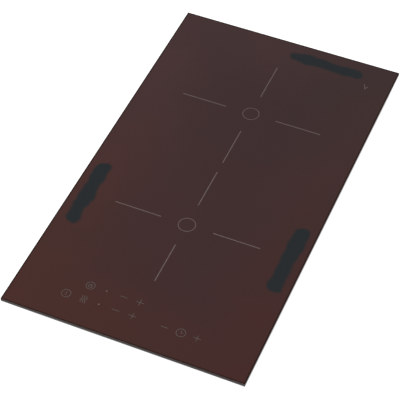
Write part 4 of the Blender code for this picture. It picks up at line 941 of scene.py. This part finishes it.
# The ribbon's grooves are painted darker and its ridges lighter: a painted shade and highlight that follow
# the bump.
ribs = (RIBBON.axes()[0] * (2 * math.pi / 0.00127)).wave() * 0.5 + 0.5
RIBBON.paint(ribs, (0.24, 0.24, 0.25), (0.50, 0.50, 0.51))
RIBBON.bump(ribs, 0.0003, 0.8)
BRASS = Finish("brass_clamp", (0.66, 0.48, 0.20), 0.32, 1.0)
rolled(BRASS, (0.50, 0.34, 0.13), (0.76, 0.58, 0.28), (400.0, 400.0, 400.0), 0.24)

# %% Finishes on the pieces that keep their own shape
KEEP = [(GALVANISED, "carrier_frame bottom_tray"), (LABEL, "rating_plate"),
        (ALUMINIUM, "coil_bridge heat_sink"), (INSULATOR, "board_sheet"),
        (SOLDER_MASK, "power_board"), (BLUE, "link_capacitor"),
        (YELLOW, "filter_capacitor supply_transformer"), (BLACK, "bridge_rectifier mains_relay fan_motor"),
        (HOUSING, "fan_housing fan_rotor touch_carrier terminal_box terminal_cover"),
        (DIFFUSER, "light_guide"), (RIBBON, "control_ribbon"), (IVORY, "terminal_block"),
        (RUBBER, "cable_grommet")]
for zone in ("rear", "front"):
    round_former(f"{zone}_coil_former")
    round_mica(f"{zone}_mica_sheet")
    for finish, what in ((FERRITE, "ferrite_star"), (CERAMIC, "pan_sensor"), (SLEEVE, "coil_lead"),
                         (BLACK, "zone_igbt"), (BLUE, "resonant_capacitor")):
        KEEP.append((finish, f"{zone}_{what}"))
kept = [wear(NODES[node], finish) for finish, nodes in KEEP for node in nodes.split()]
wear(choke_core, FERRITE)
print("pieces that keep their shape:", len(kept))

# %% Touch board with its springs
touch_low, touch_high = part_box("touch_board")
carrier_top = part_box("touch_carrier")[1].z
board_low = carrier_top + 0.0003
board_top = board_low + 0.0016
slab = block((touch_low.x, touch_low.y, board_low), (touch_high.x, touch_high.y, board_top), 0.0002, 0.0015)
stand_in("touch_board", "touch_board_slab", slab, SOLDER_MASK, "board_green")
KEY_PLACES = [at(x, ROWS["rear"]) for x in (83.2, 123.9, 143.4)] + [
    at(x, ROWS["front"]) for x in (63.1, 84.4, 123.4, 143.4, 181.5, 201.0, 220.0)]
key_springs = surface("touch_key_springs", [coil((x, y), 0.0036, board_top, touch_high.z, 7.5, 0.00025, 14, 5)
                                            for x, y in KEY_PLACES], smooth=80.0)
wear(key_springs, BRASS)
chips, CHIP_HALF = [], 0.0035
for x, y in ((-0.0700, -0.1965), (0.0200, -0.1965), (0.0480, -0.2020), (-0.0120, -0.2130)):
    chips.append(block((x - CHIP_HALF, y - CHIP_HALF, board_top + 0.0002),
                       (x + CHIP_HALF, y + CHIP_HALF, board_top + 0.0014), 0.0002))
wear(surface("touch_chips", chips), BLACK)
print("key springs:", len(KEY_PLACES))

# %% Small parts on the power board
power_centre, _, power_high = middle("power_board")
deck = power_high.z + 0.00025


def deck_box(x, y, wide, deep, tall, edge=0.0003):
    """A part standing on the board, placed from the board's middle."""
    x, y = power_centre.x + x, power_centre.y + y
    return block((x - wide / 2, y - deep / 2, deck), (x + wide / 2, y + deep / 2, deck + tall), edge)


def deck_can(x, y, radius, tall):
    """Upright can with a rolled shoulder and a slightly dished top."""
    profile = [(radius * 0.96, 0.0), (radius, 0.0006), (radius, 0.0014), (radius * 0.93, 0.0020),
               (radius, 0.0027), (radius, tall - 0.0006), (radius * 0.9, tall),
               (radius * 0.80, tall - 0.0003), (0.0001, tall - 0.0003)]
    centre = (power_centre.x + x, power_centre.y + y, 0.0)
    return turned([(r, deck + h) for r, h in profile], centre, steps=28)


CANS = [(0.072, 0.128, 0.0050, 0.0150), (0.060, 0.128, 0.0040, 0.0120), (0.087, 0.075, 0.0040, 0.0120),
        (0.086, -0.085, 0.0050, 0.0140), (0.074, -0.085, 0.0032, 0.0110)]
CHIPS = [(0.018, -0.020, 0.010, 0.0075), (0.036, -0.020, 0.0075, 0.0075), (0.020, -0.128, 0.014, 0.014),
         (0.055, -0.105, 0.010, 0.0065)]
LEGS = [(x + side * (wide / 2 + 0.0007), y + deep * (k / 5 - 0.4), 0.0012, 0.0004, 0.0006)
        for x, y, wide, deep in CHIPS for side in (-1, 1) for k in range(5)]
grains = np.random.default_rng(7)
SMALL = [(0.012 + 0.009 * (k % 9) + grains.uniform(-0.001, 0.001), -0.066 + 0.007 * (k // 9), 0.0032, 0.0016,
          0.0009) for k in range(18)]
wear(surface("upright_capacitors", [deck_can(*c) for c in CANS]), BLACK)
wear(surface("board_chips", [deck_box(x, y, w, d, 0.0016) for x, y, w, d in CHIPS]), BLACK)
wear(surface("chip_legs", [deck_box(*leg, 0.0001) for leg in LEGS], smooth=None), ZINC)
wear(surface("board_resistors", [deck_box(*part, 0.0001) for part in SMALL]), BLACK)
plugs = [deck_box(0.030 + 0.0062 * k, 0.133, 0.0058, 0.0070, 0.0085, 0.0004) for k in range(3)]
wear(surface("plug_strip", plugs), IVORY)

# %% [markdown]
# ## Mains connection
#
# The terminal block's clamps are brass, each with a screw, and the hinged cover has shallow ribs
# that stiffen it. The ribs ride on the cover, so they swing with it.

# %% Clamps and cover ribs
block_low, block_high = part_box("terminal_block")
WAYS, WELL_FLOOR = 5, 0.0060
pitch = (block_high.x - block_low.x) / WAYS
clamps, clamp_screws = [], []
for way in range(WAYS):
    x = block_low.x + pitch * (way + 0.5)
    clamps.append(block((x - 0.0024, block_high.y - WELL_FLOOR + 0.0002, block_low.z + 0.0034),
                        (x + 0.0024, block_high.y - 0.0012, block_low.z + 0.0044), 0.0002))
    profile = [(0.0016, -0.0017), (0.0016, -0.0005), (0.0011, -0.0003), (0.0001, -0.0003)]
    clamp_screws.append(turned([(r, block_high.z + h) for r, h in profile],
                               (x, block_low.y + 0.0050, 0.0), steps=16))
wear(surface("terminal_clamps", clamps), BRASS)
wear(surface("terminal_clamp_screws", clamp_screws), ZINC)

cover_low, cover_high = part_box("terminal_cover")
COVER_FACE_Y, RIB_HALF_W, RIB_H = 0.2447, 0.0006, 0.0006
ribs = [block((x - RIB_HALF_W, COVER_FACE_Y + 0.00001, cover_low.z + 0.0035),
              (x + RIB_HALF_W, COVER_FACE_Y + RIB_H, cover_high.z - 0.0042), 0.0002)
        for x in np.linspace(cover_low.x + 0.010, cover_high.x - 0.010, 6)]
wear(surface("cover_ribs", ribs, "terminal_cover"), HOUSING)
print("terminal clamps:", WAYS, " cover ribs:", len(ribs))

# %% [markdown]
# ## The stage
#
# The hob stands on a plain pale floor in a bright, shadowless studio. Glass mirrors what lies opposite the
# camera, so the sky is kept dim in that part and brighter near the horizon. The lamps are large and hang
# high, where no side view mirrors them. A low soft lamp in front draws a fine light along the ground edge.

# %% Stage and light
def floor_sheet(size=12.0):
    """A square floor at the hob's lowest point."""
    half, z = size / 2, CAD_BOX[0][2]
    mesh = bpy.data.meshes.new("studio_floor")
    corners = [(-half, -half, z), (half, -half, z), (half, half, z), (-half, half, z)]
    mesh.from_pydata(corners, [], [(0, 1, 2, 3)])
    return placed("studio_floor", mesh)


floor = floor_sheet()
floor_finish = Finish("pale_floor", colour=(0.22, 0.22, 0.22), roughness=0.9, Emission_Color=(1, 1, 1, 1),
                      Emission_Strength=0.92)
floor.data.materials.append(floor_finish.material)


def soft_lamp(name, azimuth, elevation, distance, size, power):
    """Square lamp on a sphere around the hob, turned to face it."""
    lamp = bpy.data.lights.new(name, "AREA")
    lamp.shape, lamp.size, lamp.energy = "SQUARE", size, power
    made = placed(name, lamp)
    a, e = math.radians(azimuth), math.radians(elevation)
    place = Vector((math.sin(a) * math.cos(e), -math.cos(a) * math.cos(e), math.sin(e))) * distance
    made.location = place
    made.rotation_euler = place.to_track_quat("Z", "Y").to_euler()
    return made


soft_lamp("overhead_lamp", 30, 82, 2.6, 1.8, 62)
soft_lamp("left_lamp", -75, 62, 2.6, 1.2, 26)
soft_lamp("front_lamp", -20, 36, 2.4, 0.9, 5)


def sky():
    """World light: brightest at the horizon, dim overhead."""
    world = bpy.data.worlds.new("studio_sky")
    world.use_nodes = True
    bpy.context.scene.world = world
    tree = world.node_tree
    coordinate = tree.nodes.new("ShaderNodeTexCoord")
    split = tree.nodes.new("ShaderNodeSeparateXYZ")
    ramp = tree.nodes.new("ShaderNodeValToRGB")
    tree.links.new(coordinate.outputs["Generated"], split.inputs[0])
    tree.links.new(split.outputs["Z"], ramp.inputs["Fac"])
    tree.links.new(ramp.outputs["Color"], tree.nodes["Background"].inputs["Color"])
    for element, (place, level) in zip(ramp.color_ramp.elements, ((0.05, 0.75), (0.45, 0.28))):
        element.position, element.color = place, (level, level, level * 1.01, 1.0)
    tree.nodes["Background"].inputs["Strength"].default_value = 1.0


sky()
bpy.context.scene.view_settings.view_transform = "Standard"
bpy.context.scene.view_settings.look = "None"
